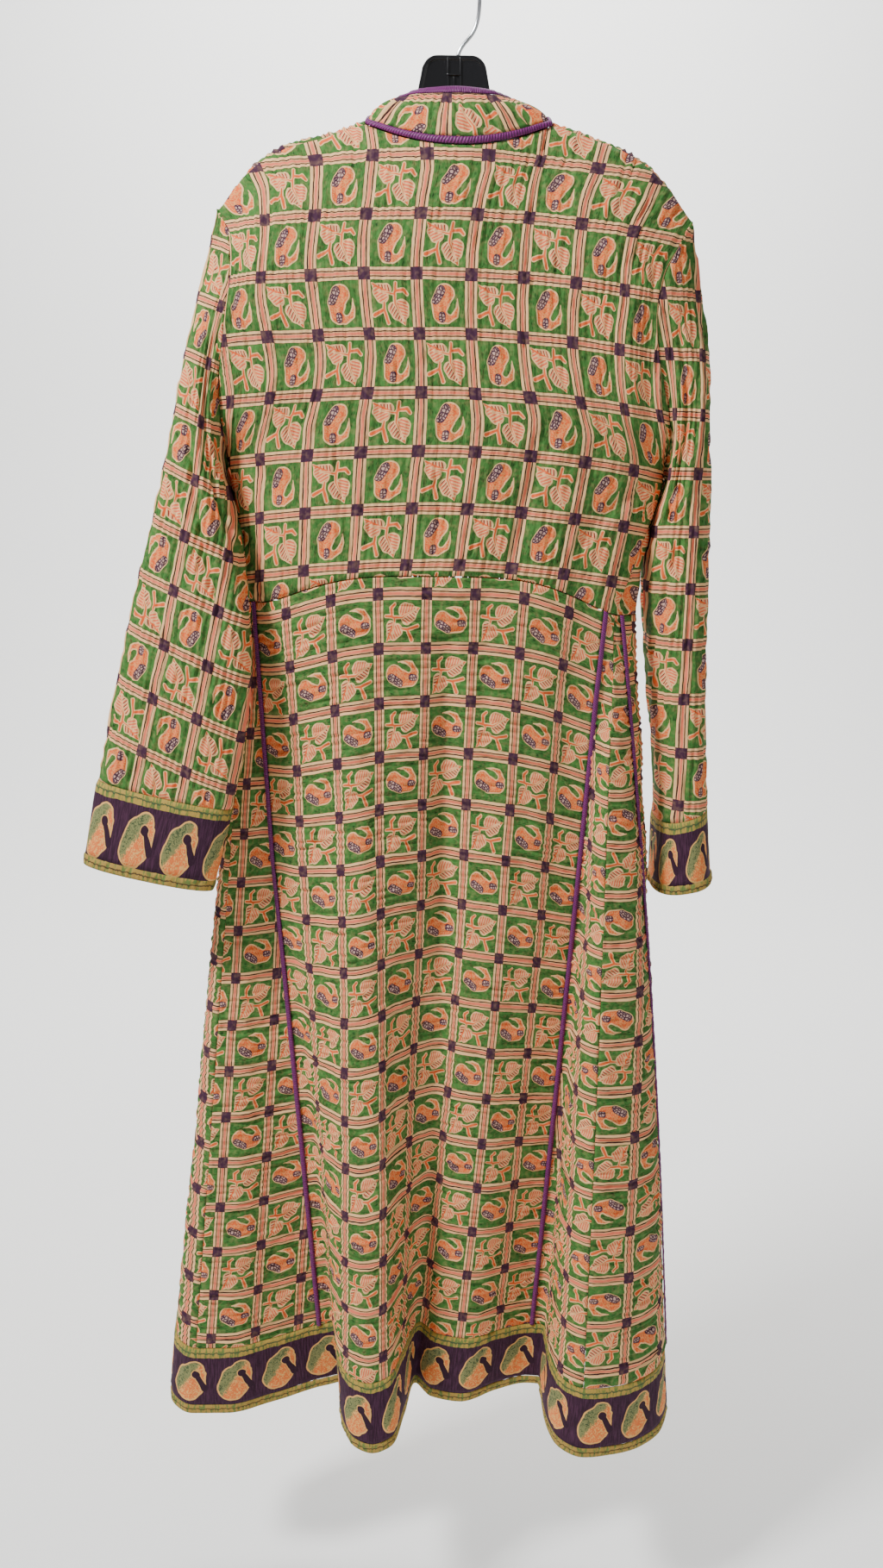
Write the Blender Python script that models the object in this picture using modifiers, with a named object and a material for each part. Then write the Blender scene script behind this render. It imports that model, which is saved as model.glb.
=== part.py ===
"""A long quilted robe hanging on a moulded hanger, built the way a maker cuts and sews it.

Units are metres. The origin is the point inside the hook that a rail carries. +Z is up, the back of
the robe faces -Y, its open front faces +Y, and +X is the wearer's right.
"""

import math

import bmesh
import bpy
from mathutils import Vector

# Cloth
CLOTH = 0.0025
SEAM = 0.0003
QUILT_RISE = 0.0008
TRIM_LIFT = 0.0008
TRIM_RISE = 0.0013
TRIM_WIDTH = 0.0048
TRIM_THICK = 0.0012
INSET = 0.0002
WAIST_GAP = 0.0005

# Levels below the rail, and the places they are read at
SHOULDER_SEAM_DROP = 0.007
SHOULDER_SEAM_DEPTH = 0.020
NECK_HALF = 0.084
NECK_CENTRE = 0.005
NECK_BACK_Z = -0.161
NECK_BACK_DEPTH = 0.045
ARMPIT = 0.64
WAIST_BACK_Z = -0.536
WAIST_LEFT_DROP = 0.028
WAIST_RIGHT_DROP = 0.036
WAIST_DROP_TURN = 62.0
WAIST_FRONT_Z = -0.574
WAIST_CENTRE_X = -0.006
BACK_DEPTH = 0.062
FRONT_DEPTH = 0.056
HEM_Z = -1.430
HEM_LEAN = 0.14
HEM_NEAREST_Y = -0.090
BORDER_TOP = 0.911
BORDER_FOOT = 0.988
SUPER = 0.8
FRONT_EDGE_WAIST_X = 0.012
FRONT_EDGE_GAP = 0.003
DEPTH_GROWS_OVER = 0.065
OVER_SHOULDER = 0.06
OVER_REACH = 0.0261
OVER_RISE = 0.0196
OVER_FROM = 140
OVER_TO = 10
FRONT_SIDE_TURN = 90.01
CORE_REACH = 0.140
CORE_BELOW = 0.034

# How many facets each piece has
NECK_STEPS = 6
SHOULDER_STEPS = 9
SKIRT_RIDGES = 17
SLEEVE_RINGS = 8
SLEEVE_HEAD = (0.0, 0.035, 0.075)
SLEEVE_FIRST_EVEN = 0.13
BORDER_ROWS = 2
INNER_EVERY = 4
TRIM_SHOULDER = 0.6


class Table:
    """Rows of sizes under named columns, read smoothly along the first column."""

    def __init__(self, columns, *rows):
        self.columns = columns.split()
        self.rows = rows
        self.keys = [row[0] for row in rows]

    def column(self, name):
        """All the values of one column."""
        index = self.columns.index(name)
        return [row[index] for row in self.rows]

    def at(self, name, where):
        """One column's value at a place, by a cubic that never overshoots its rows."""
        return smooth_read(self.keys, self.column(name), where)


def smooth_read(keys, values, where):
    """Monotone cubic reading of a short list of values."""
    if where <= keys[0]:
        return values[0]
    if where >= keys[-1]:
        return values[-1]
    slopes = [(values[i + 1] - values[i]) / (keys[i + 1] - keys[i]) for i in range(len(keys) - 1)]
    tangents = [slopes[0]]
    for before, after in zip(slopes, slopes[1:]):
        same_way = before * after > 0
        tangents.append(2 * before * after / (before + after) if same_way else 0.0)
    tangents.append(slopes[-1])
    i = max(k for k in range(len(keys) - 1) if keys[k] <= where)
    width = keys[i + 1] - keys[i]
    t = (where - keys[i]) / width
    return (
        values[i] * (2 * t**3 - 3 * t**2 + 1)
        + tangents[i] * width * (t**3 - 2 * t**2 + t)
        + values[i + 1] * (3 * t**2 - 2 * t**3)
        + tangents[i + 1] * width * (t**3 - t**2)
    )


def mix(a, b, share):
    """Straight blend of two numbers or vectors."""
    return a + (b - a) * share


def power(value, exponent):
    """A signed power, for the rounded sections of a worn or hung shape."""
    return math.copysign(abs(value) ** exponent, value)


# The top of the shoulders, away from the neck
SHOULDER_LINE = Table(
    "out left right",
    (0.060, -0.1265, -0.1245),
    (0.083, -0.1335, -0.1300),
    (0.100, -0.1390, -0.1345),
    (0.122, -0.1455, -0.1415),
    (0.148, -0.1525, -0.1500),
    (0.168, -0.1620, -0.1605),
    (0.182, -0.1720, -0.1705),
    (0.198, -0.1890, -0.1865),
    (0.210, -0.2045, -0.2025),
    (0.218, -0.2130, -0.2120),
)

# The armhole and side seam, from the shoulder tip (0) through the armpit to the waist (1)
SIDE_EDGE = Table(
    "down left right back front",
    (0.00, -0.2130, 0.2180, 0.020, 0.012),
    (0.06, -0.2010, 0.2060, 0.030, 0.018),
    (0.14, -0.1990, 0.1910, 0.040, 0.030),
    (0.24, -0.2030, 0.1860, 0.046, 0.036),
    (0.34, -0.2080, 0.1900, 0.045, 0.036),
    (0.44, -0.2115, 0.1990, 0.038, 0.031),
    (0.54, -0.2110, 0.2050, 0.024, 0.021),
    (0.64, -0.2080, 0.2040, 0.000, 0.000),
    (0.76, -0.2030, 0.1950, 0.000, 0.000),
    (0.88, -0.1990, 0.1880, 0.000, 0.000),
    (1.00, -0.1960, 0.1840, 0.000, 0.000),
)

# Where each row of the bodice lies, as a share of the way from the shoulder to the waist
BACK_ROWS = (0.0, 0.04, 0.09, 0.15, 0.22, 0.29, 0.37, 0.45, 0.54, 0.60, ARMPIT, 0.73, 0.82, 0.91, 1.0)
FRONT_ROWS = (0.0, 0.02, 0.04, 0.06, 0.10, 0.16, 0.23, 0.31, 0.40, 0.49, 0.57, ARMPIT, 0.73, 0.82, 0.91, 1.0)

# Soft hanging folds of the bodice: degrees round from the centre back, and how deep
BODICE_FOLDS = Table(
    "turn depth width",
    (-62.0, 0.0035, 9.0),
    (-38.0, 0.0025, 8.0),
    (-12.0, 0.0020, 7.0),
    (16.0, 0.0025, 7.0),
    (40.0, 0.0040, 8.0),
    (118.0, 0.0030, 9.0),
    (146.0, 0.0030, 8.0),
    (-118.0, 0.0030, 9.0),
    (-146.0, 0.0030, 8.0),
)

# The skirt's seams, as degrees round the waist from the centre back
SKIRT_SEAMS = Table(
    "seam waist_turn hem_station",
    (0, -180.0, 0),
    (1, -79.0, 6),
    (2, -73.0, 9),
    (3, -67.0, 12),
    (4, 51.2, 23),
    (5, 56.5, 27),
    (6, 61.7, 31),
    (7, 180.0, 37),
)

# The hem seen from above, from the open front round the left side, the back and the right side.
# Each row is the crest, flank or valley of a fold, and starts says how far down the fold begins.
HEM = Table(
    "station x y starts drop",
    (0, 0.004, 0.082, 0.00, 0.030),
    (1, -0.052, 0.068, 0.10, 0.030),
    (2, -0.098, 0.094, 0.10, 0.028),
    (3, -0.146, 0.074, 0.15, 0.024),
    (4, -0.196, 0.090, 0.15, 0.018),
    (5, -0.240, 0.070, 0.10, 0.012),
    (6, -0.278, 0.040, 0.00, 0.006),
    (7, -0.292, 0.008, 0.00, 0.000),
    (8, -0.288, -0.024, 0.00, 0.004),
    (9, -0.262, -0.044, 0.00, 0.006),
    (10, -0.222, -0.043, 0.10, 0.006),
    (11, -0.176, -0.026, 0.20, 0.006),
    (12, -0.122, -0.006, 0.30, 0.003),
    (13, -0.106, -0.004, 0.35, 0.000),
    (14, -0.101, -0.050, 0.35, 0.006),
    (15, -0.087, -0.078, 0.30, 0.012),
    (16, -0.066, -0.087, 0.20, 0.013),
    (17, -0.044, -0.080, 0.05, 0.008),
    (18, -0.033, -0.048, 0.00, 0.000),
    (19, -0.023, -0.004, 0.00, 0.000),
    (20, -0.006, -0.023, 0.00, 0.000),
    (21, 0.026, -0.030, 0.05, 0.000),
    (22, 0.066, -0.012, 0.05, 0.000),
    (23, 0.098, -0.002, 0.10, 0.000),
    (24, 0.111, -0.003, 0.14, 0.000),
    (25, 0.114, -0.046, 0.14, 0.002),
    (26, 0.124, -0.080, 0.10, 0.004),
    (27, 0.150, -0.096, 0.05, 0.006),
    (28, 0.182, -0.088, 0.00, 0.010),
    (29, 0.214, -0.074, 0.00, 0.013),
    (30, 0.240, -0.052, 0.00, 0.012),
    (31, 0.251, -0.020, 0.00, 0.008),
    (32, 0.243, 0.024, 0.00, 0.004),
    (33, 0.212, 0.060, 0.10, 0.010),
    (34, 0.166, 0.088, 0.15, 0.018),
    (35, 0.120, 0.070, 0.15, 0.024),
    (36, 0.072, 0.092, 0.10, 0.028),
    (37, 0.014, 0.080, 0.00, 0.030),
)

SKIRT_PANELS = (
    "skirt_front_left",
    "gore_front_left",
    "gore_back_left",
    "skirt_back",
    "gore_back_right",
    "gore_front_right",
    "skirt_front_right",
)
PANEL_COLUMNS = (8, 4, 5, 18, 4, 6, 9)
PIPED_SEAMS = {1: "piping_front_left", 3: "piping_back_left", 4: "piping_back_right", 6: "piping_front_right"}

# Each sleeve as the outer and inner points of its sections, from the armhole (0) to the hand (1)
SLEEVE_COLUMNS = "along outer_x outer_y outer_z inner_x inner_y inner_z depth"
LEFT_SLEEVE = Table(
    SLEEVE_COLUMNS,
    (0.00, -0.2130, 0.000, -0.215, -0.2080, 0.000, -0.444, 0.042),
    (0.10, -0.2350, -0.005, -0.290, -0.2140, -0.006, -0.454, 0.042),
    (0.24, -0.2525, -0.013, -0.372, -0.2135, -0.022, -0.480, 0.039),
    (0.38, -0.2690, -0.022, -0.450, -0.2035, -0.041, -0.524, 0.035),
    (0.52, -0.2880, -0.032, -0.530, -0.1900, -0.055, -0.578, 0.031),
    (0.66, -0.3070, -0.040, -0.610, -0.1840, -0.062, -0.642, 0.027),
    (0.78, -0.3220, -0.046, -0.676, -0.1900, -0.065, -0.704, 0.025),
    (0.885, -0.3325, -0.050, -0.733, -0.2010, -0.065, -0.758, 0.024),
    (1.00, -0.3495, -0.053, -0.815, -0.2210, -0.065, -0.838, 0.023),
)
RIGHT_SLEEVE = Table(
    SLEEVE_COLUMNS,
    (0.00, 0.2180, 0.000, -0.215, 0.2040, 0.000, -0.444, 0.042),
    (0.10, 0.2350, 0.000, -0.290, 0.2070, 0.000, -0.456, 0.043),
    (0.24, 0.2435, 0.002, -0.368, 0.2070, 0.003, -0.484, 0.045),
    (0.38, 0.2480, 0.006, -0.446, 0.2025, 0.008, -0.526, 0.048),
    (0.52, 0.2510, 0.010, -0.528, 0.1990, 0.015, -0.582, 0.051),
    (0.66, 0.2540, 0.014, -0.612, 0.2020, 0.020, -0.645, 0.053),
    (0.78, 0.2580, 0.017, -0.688, 0.2100, 0.024, -0.712, 0.055),
    (0.885, 0.2640, 0.019, -0.764, 0.2130, 0.024, -0.780, 0.056),
    (1.00, 0.2720, 0.020, -0.840, 0.2120, 0.024, -0.852, 0.057),
)
CUFF_TOP = 0.885
ARMPIT_SPRING = 0.12
ARMHOLE_HOLDS = 0.22
SLEEVE_LENGTH = 0.62
CUFF_FOOT = 0.985

# The collar band: down the left front, round the neck and down the right front
BAND_WIDTH_FRONT = 0.043
BAND_LAP = 0.0015
STAND_UNTIL = 0.30
STAND_FORWARD = 0.010
STAND_FALL = 0.12
COLLAR_TOP = Table(
    "round x y z",
    (-1.00, -0.0450, -0.004, -0.1125),
    (-0.60, -0.0300, -0.024, -0.1110),
    (0.00, 0.0020, -0.031, -0.1100),
    (0.60, 0.0320, -0.024, -0.1110),
    (1.00, 0.0460, -0.004, -0.1125),
)
BAND_ROLL = 0.005
COLLAR_ACROSS = (0.006, 0.065, 0.12, 0.37, 0.62, 0.86, 0.93, 1.0)

# The hanger
HANGER_ARM = Table(
    "out depth height below",
    (0.000, 0.0100, 0.024, 0.0047),
    (0.030, 0.0100, 0.024, 0.0047),
    (0.060, 0.0105, 0.022, 0.0047),
    (0.083, 0.0110, 0.020, 0.0047),
    (0.122, 0.0110, 0.018, 0.0052),
    (0.148, 0.0105, 0.017, 0.0066),
    (0.168, 0.0090, 0.014, 0.0088),
    (0.185, 0.0075, 0.011, 0.0108),
    (0.196, 0.0060, 0.008, 0.0125),
)
HEAD_TOP_Z = -0.080
HEAD_FOOT_Z = -0.133
HEAD_TOP_HALF = 0.0245
HEAD_FOOT_HALF = 0.0330
HEAD_THICK = 0.016
HEAD_ROUND = 0.0055
ARM_SIDES = 10
WIRE = 0.0036
HOOK_RADIUS = 0.0200
HOOK_FROM = -20
HOOK_TO = 200
HOOK_STEP = 20

# The hook's wire between the head and its round part: sideways, and up from the head
HOOK_STEM = Table(
    "x up",
    (0.0030, 0.000),
    (0.0033, 0.006),
    (0.0070, 0.012),
    (0.0130, 0.017),
    (0.0180, 0.023),
    (0.0205, 0.031),
)


# Shapes of the body

def shoulder_z(x):
    """Height of the top of the shoulder at a distance out from the centre."""
    return SHOULDER_LINE.at("right" if x > 0 else "left", abs(x))


def neck_share(x):
    """1 at the centre back of the neck, 0 from the neck points outwards."""
    return max(0.0, 1 - ((x - NECK_CENTRE) / NECK_HALF) ** 2)


def waist_z(turn):
    """Height of the waist seam, which rises at the centre back."""
    drop = WAIST_RIGHT_DROP if turn > 0 else WAIST_LEFT_DROP
    at_side = WAIST_BACK_Z - drop
    if abs(turn) > 90:
        return mix(WAIST_FRONT_Z, at_side, math.sin(math.radians(turn)) ** 2)
    share = min(1.0, abs(turn) / WAIST_DROP_TURN)
    return mix(WAIST_BACK_Z, at_side, math.sin(math.pi / 2 * share) ** 3)


def side_turn(side, down, armhole_turn=90.0):
    """Degrees round of the side seam, which comes towards the back below the armpit."""
    at_waist = SKIRT_SEAMS.rows[5][1] if side > 0 else SKIRT_SEAMS.rows[2][1]
    share = max(0.0, (down - ARMPIT) / (1 - ARMPIT))
    return mix(armhole_turn * side, at_waist, share)


def half_width(turn, down):
    """How far the body reaches sideways from its centre line, on the side that turn is on."""
    name = "right" if turn >= 0 else "left"
    return abs(SIDE_EDGE.at(name, down) - centre_x(down))


def centre_x(down):
    """The centre line moves a little to the left on its way down to the waist."""
    return WAIST_CENTRE_X * down


def fold_depth(turn, down):
    """How far the soft folds push the bodice in."""
    grows = max(0.0, (down - 0.25) / 0.75) ** 1.3
    return grows * sum(
        depth * math.exp(-(((turn - at) / width) ** 2)) for at, depth, width in BODICE_FOLDS.rows
    )


def body_point(turn, down):
    """A point of the bodice below the shoulders: turn in degrees from the centre back, down 0 to 1."""
    sine = power(math.sin(math.radians(turn)), SUPER)
    cosine = abs(math.cos(math.radians(turn))) ** SUPER
    behind = abs(turn) <= 90
    x = centre_x(down) + half_width(turn, down) * sine
    x_top = half_width(turn, 0.0) * sine
    neck = neck_share(x_top) if behind else 0.0
    beyond = max(abs(x_top - NECK_CENTRE), NECK_HALF)
    shoulder = shoulder_z(NECK_CENTRE + math.copysign(beyond, x_top - NECK_CENTRE)) - SHOULDER_SEAM_DROP
    top = mix(shoulder, NECK_BACK_Z, neck)
    z = mix(top, waist_z(turn), down)
    start = mix(SHOULDER_SEAM_DEPTH, NECK_BACK_DEPTH, neck)
    full = BACK_DEPTH if behind else FRONT_DEPTH
    depth = mix(start, full, 1 - math.exp(-(top - z) / DEPTH_GROWS_OVER)) - fold_depth(turn, down)
    edge = SIDE_EDGE.at("back" if behind else "front", down)
    y = edge + (depth - edge) * cosine
    return Vector((x, -y if behind else y, z))


def neck_edge_turn(side, down):
    """Degrees round of the front neck edge, from the neck point down to the waist."""
    eased = math.sin(math.radians(90 * min(1.0, down))) ** 0.9
    x = side * mix(NECK_HALF, BAND_WIDTH_FRONT + FRONT_EDGE_GAP, eased)
    x += mix(NECK_CENTRE, FRONT_EDGE_WAIST_X, min(1.0, down))
    share = min(1.0, abs(x - centre_x(down)) / half_width(side, down))
    return side * (180 - math.degrees(math.asin(share ** (1 / SUPER))))


def front_point(turn, down):
    """A point of a front bodice. Its first rows pass over the shoulder from the seam behind."""
    if down > OVER_SHOULDER:
        return body_point(turn, down)
    x = body_point(turn, down).x
    angle = math.radians(mix(OVER_FROM, OVER_TO, down / OVER_SHOULDER))
    y = OVER_REACH * math.cos(angle)
    x_top = half_width(turn, 0.0) * power(math.sin(math.radians(turn)), SUPER)
    return Vector((x, y, shoulder_z(x_top) - OVER_RISE * (1 - math.sin(angle))))


def torso_inside(point):
    """The same point on the inner face of a bodice wall."""
    core = Vector((max(-CORE_REACH, min(CORE_REACH, point.x)), 0.0, point.z))
    core.z = min(core.z, shoulder_z(math.copysign(max(NECK_HALF, abs(core.x)), core.x)) - CORE_BELOW)
    return point + (core - point).normalized() * CLOTH


# Shapes of the skirt

def hem_shares():
    """Each hem station's share of the way round the hem."""
    xs, ys = HEM.column("x"), HEM.column("y")
    run = [0.0]
    for i in range(len(xs) - 1):
        run.append(run[-1] + math.hypot(xs[i + 1] - xs[i], ys[i + 1] - ys[i]))
    return [value / run[-1] for value in run]


HEM_SHARES = hem_shares()
FOLD_WINDOW = 0.055
FOLD_GROWTH = 0.9
RIGHT_SWELL = 0.008
HEM_RIGHT_X = 0.251
WINDOW_STEPS = 4


def hem_read(name, share):
    """One column of the hem's table at a share of the way round."""
    return smooth_read(HEM_SHARES, HEM.column(name), min(1.0, max(0.0, share)))


def calm_hem(share):
    """The hem as it would lie with its folds smoothed away."""
    near = [share + FOLD_WINDOW * k / WINDOW_STEPS for k in range(-WINDOW_STEPS, WINDOW_STEPS + 1)]
    x = sum(hem_read("x", s) for s in near) / len(near)
    y = sum(hem_read("y", s) for s in near) / len(near)
    edge = min(1.0, min(share, 1 - share) / FOLD_WINDOW)
    return mix(hem_read("x", share), x, edge), mix(hem_read("y", share), y, edge)


def waist_point(turn):
    """A point of the waist seam, shared by the bodice and the skirt."""
    sine = power(math.sin(math.radians(turn)), SUPER)
    cosine = power(math.cos(math.radians(turn)), SUPER)
    depth = BACK_DEPTH if abs(turn) <= 90 else FRONT_DEPTH
    y = -cosine * (depth - fold_depth(turn, 1.0))
    x = centre_x(1.0) + half_width(turn, 1.0) * sine
    return Vector((x, y, waist_z(turn)))


def front_edge_turn(side):
    """Degrees round the waist of a front opening edge."""
    x = FRONT_EDGE_WAIST_X + side * FRONT_EDGE_GAP
    share = (x - centre_x(1.0)) / half_width(side, 1.0)
    return math.copysign(180, side) - math.degrees(math.asin(power(share, 1 / SUPER)))


def skirt_turn(round_skirt):
    """Degrees round the waist, for a place that counts the panels from 0 to 7."""
    turns = SKIRT_SEAMS.column("waist_turn")
    turns = [front_edge_turn(-1)] + turns[1:-1] + [front_edge_turn(1)]
    i = min(len(turns) - 2, max(0, int(math.floor(round_skirt))))
    return mix(turns[i], turns[i + 1], round_skirt - i)


def skirt_share(round_skirt):
    """Share of the way round the hem, for the same place."""
    marks = [HEM_SHARES[k] for k in SKIRT_SEAMS.column("hem_station")]
    i = min(len(marks) - 2, max(0, int(math.floor(round_skirt))))
    return mix(marks[i], marks[i + 1], round_skirt - i)


def skirt_point(round_skirt, down):
    """A point of the skirt: round_skirt counts panels from 0 to 7, down goes from waist to hem."""
    waist = waist_point(skirt_turn(round_skirt))
    share = skirt_share(round_skirt)
    calm = calm_hem(share)
    folded = hem_read("x", share), hem_read("y", share)
    starts = hem_read("starts", share)
    grows = max(0.0, (down - starts) / (1 - starts)) ** FOLD_GROWTH
    hem_z = HEM_Z + HEM_LEAN * (min(folded[1], 0.0) - HEM_NEAREST_Y) - hem_read("drop", share)
    x = mix(waist.x, calm[0], down) + (folded[0] - calm[0]) * grows
    x += RIGHT_SWELL * math.sin(math.pi * down) * max(0.0, calm[0] / abs(HEM_RIGHT_X)) ** 3
    y = mix(waist.y, calm[1], down) + (folded[1] - calm[1]) * grows
    return Vector((x, y, mix(waist.z, hem_z, down)))


# Building meshes

def add_grid(mesh, grid, flip, wrap=False):
    """Adds a grid of points as faces, and returns the vertices."""
    rows = [[mesh.verts.new(point) for point in row] for row in grid]
    for upper, lower in zip(rows, rows[1:]):
        count = len(upper) if wrap else len(upper) - 1
        for i in range(count):
            j = (i + 1) % len(upper)
            corners = [upper[i], lower[i], lower[j], upper[j]]
            mesh.faces.new(corners[::-1] if flip else corners)
    return rows


def zip_rims(mesh, outer, inner, flip):
    """Closes the rim between two runs of vertices that may differ in number."""
    i = j = 0
    while i < len(outer) - 1 or j < len(inner) - 1:
        outer_next = (i + 1) / (len(outer) - 1) if i < len(outer) - 1 else 2.0
        inner_next = (j + 1) / (len(inner) - 1) if j < len(inner) - 1 else 2.0
        if outer_next <= inner_next:
            corners = [outer[i], outer[i + 1], inner[j]]
            i += 1
        else:
            corners = [outer[i], inner[j + 1], inner[j]]
            j += 1
        mesh.faces.new(corners[::-1] if flip else corners)


def finish(name, mesh, material, collection):
    """Turns a bmesh into a named object with its material."""
    bmesh.ops.recalc_face_normals(mesh, faces=mesh.faces)
    data = bpy.data.meshes.new(name)
    mesh.to_mesh(data)
    mesh.free()
    data.materials.append(material)
    data.shade_smooth()
    piece = bpy.data.objects.new(name, data)
    collection.objects.link(piece)
    return piece


def pulled_in(grid, top=INSET, foot=INSET, left=INSET, right=INSET):
    """The same grid with its edges drawn back, which leaves the gap of a seam."""
    rows = [[point.copy() for point in row] for row in grid]

    def draw(point, towards, by):
        return point + (towards - point).normalized() * by if by else point

    for row in rows:
        row[0], row[-1] = draw(row[0], row[1], left), draw(row[-1], row[-2], right)
    rows[0] = [draw(a, b, top) for a, b in zip(rows[0], rows[1])]
    rows[-1] = [draw(a, b, foot) for a, b in zip(rows[-1], rows[-2])]
    return rows


def panel(name, outer, inner, material, collection):
    """A cloth wall with four edges, from its outer and inner grids."""
    mesh = bmesh.new()
    out = add_grid(mesh, outer, flip=False)
    inn = add_grid(mesh, inner, flip=True)
    zip_rims(mesh, out[0], inn[0], flip=False)
    zip_rims(mesh, out[-1], inn[-1], flip=True)
    zip_rims(mesh, [row[0] for row in out], [row[0] for row in inn], flip=True)
    zip_rims(mesh, [row[-1] for row in out], [row[-1] for row in inn], flip=False)
    return finish(name, mesh, material, collection)


def tube(name, outer, inner, material, collection):
    """A cloth wall that closes round, from its outer and inner rings."""
    mesh = bmesh.new()
    out = add_grid(mesh, outer, flip=False, wrap=True)
    inn = add_grid(mesh, inner, flip=True, wrap=True)
    zip_rims(mesh, out[0] + out[0][:1], inn[0] + inn[0][:1], flip=False)
    zip_rims(mesh, out[-1] + out[-1][:1], inn[-1] + inn[-1][:1], flip=True)
    return finish(name, mesh, material, collection)


def material(name, colour, roughness, metallic=0.0):
    """A plain finish."""
    made = bpy.data.materials.new(name)
    made.use_nodes = True
    shader = made.node_tree.nodes["Principled BSDF"]
    shader.inputs["Base Color"].default_value = (*colour, 1.0)
    shader.inputs["Roughness"].default_value = roughness
    shader.inputs["Metallic"].default_value = metallic
    return made


# The bodice

def every_other(row):
    """Every second point, both ends kept."""
    return [row[i] for i in range(0, len(row), 2)]


def raised(grid, inside_of):
    """Ridges of quilting: every second column of a panel stands out from its wall."""
    rows = []
    for row in grid:
        moved = [point.copy() for point in row]
        for i in range(1, len(row) - 1, 2):
            outward = (row[i] - inside_of(row[i])).normalized()
            moved[i] = row[i] + outward * QUILT_RISE
        rows.append(moved)
    return rows


def back_turns():
    """Degrees round of the back bodice's columns, with one at each neck point."""
    neck = {}
    for side in (-1, 1):
        share = (NECK_HALF + side * NECK_CENTRE) / half_width(side, 0.0)
        neck[side] = side * math.degrees(math.asin(share ** (1 / SUPER)))
    left = [mix(-90.0, neck[-1], k / (2 * SHOULDER_STEPS)) for k in range(2 * SHOULDER_STEPS)]
    middle = [mix(neck[-1], neck[1], k / (2 * NECK_STEPS)) for k in range(2 * NECK_STEPS)]
    right = [mix(neck[1], 90.0, k / (2 * SHOULDER_STEPS)) for k in range(2 * SHOULDER_STEPS + 1)]
    return left + middle + right


def back_grid():
    """The back bodice's outer points, row by row from the shoulders to the waist."""
    rows = []
    for down in BACK_ROWS:
        row = []
        for turn in back_turns():
            side = 1 if turn > 0 else -1
            row.append(body_point(turn * side_turn(side, down) / (90.0 * side), down))
        rows.append(row)
    return rows


def front_grid(side):
    """A front bodice's outer points, from the side seam to the neck edge in every row."""
    columns = 2 * SHOULDER_STEPS
    rows = []
    for down in FRONT_ROWS:
        start, end = side_turn(side, down, FRONT_SIDE_TURN), neck_edge_turn(side, down)
        row = [front_point(mix(start, end, k / columns), down) for k in range(columns + 1)]
        rows.append(row if side > 0 else row[::-1])
    return rows


def build_bodice(cotton, collection):
    """The back and the two fronts, which meet at the shoulder and side seams."""
    grids = {"back_bodice": back_grid()}
    for side, word in ((-1, "left"), (1, "right")):
        grids[f"front_bodice_{word}"] = front_grid(side)
    for name, grid in grids.items():
        plain = pulled_in(grid)
        inner = [[torso_inside(point) for point in every_other(row)] for row in plain]
        panel(name, raised(plain, torso_inside), inner, cotton, collection)


# The sleeves

def armhole(side):
    """The armhole's edge, from the shoulder seam down the back and up the front."""
    back = [body_point(90.0 * side, down) for down in BACK_ROWS if down <= ARMPIT]
    front = [front_point(FRONT_SIDE_TURN * side, down) for down in FRONT_ROWS[::-1] if down <= ARMPIT]
    loop = back + front[1:-1]
    doubled = []
    for a, b in zip(loop, loop[1:] + loop[:1]):
        doubled += [a, (a + b) / 2]
    return doubled


def sleeve_ring(table, along, angles):
    """One section of a sleeve."""
    outer = Vector([table.at(f"outer_{axis}", along) for axis in "xyz"])
    inner = Vector([table.at(f"inner_{axis}", along) for axis in "xyz"])
    depth = table.at("depth", along)
    centre, half = (outer + inner) / 2, (outer - inner) / 2
    ring = []
    for angle in angles:
        long, short = power(math.cos(angle), SUPER), power(math.sin(angle), SUPER)
        ring.append(centre + half * long + Vector((0.0, -depth * short, 0.0)))
    return ring


def loop_angles(loop):
    """The angle round a sleeve that each armhole point belongs to."""
    run = [0.0]
    for a, b in zip(loop, loop[1:] + loop[:1]):
        run.append(run[-1] + (b - a).length)
    armpit = min(range(len(loop)), key=lambda k: loop[k].z)
    top = max(range(len(loop)), key=lambda k: loop[k].z)
    total = run[-1]
    down_run = (run[armpit] - run[top]) % total
    angles = []
    for k in range(len(loop)):
        gone = (run[k] - run[top]) % total
        if gone <= down_run:
            angles.append(math.pi * gone / down_run)
        else:
            angles.append(math.pi + math.pi * (gone - down_run) / (total - down_run))
    return angles


def grid_normals(rows, wrap=False):
    """The direction square to a grid's surface at each of its points."""
    normals = []
    for r, row in enumerate(rows):
        line = []
        count = len(row)
        for c in range(count):
            after = row[(c + 1) % count] if wrap else row[min(count - 1, c + 1)]
            before = row[c - 1] if wrap else row[max(0, c - 1)]
            across = rows[min(len(rows) - 1, r + 1)][c] - rows[max(0, r - 1)][c]
            line.append((after - before).cross(across).normalized())
        normals.append(line)
    return normals


def sleeve_surface(side, stations):
    """The rings of a sleeve's outer face at the given stations, and the outward direction at each."""
    table = RIGHT_SLEEVE if side > 0 else LEFT_SLEEVE
    loop = armhole(side)
    angles = loop_angles(loop)
    rings = []
    for along in stations:
        hold = max(0.0, 1 - along / ARMHOLE_HOLDS) ** 2
        away = [SEAM * 1.5 + along * ARMPIT_SPRING * (1 - math.cos(a)) / 2 for a in angles]
        ring = sleeve_ring(table, along, angles)
        rings.append([mix(p, q + Vector((side * w, 0.0, 0.0)), hold) for p, q, w in zip(ring, loop, away)])
    return rings, grid_normals(rings, wrap=True)


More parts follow.
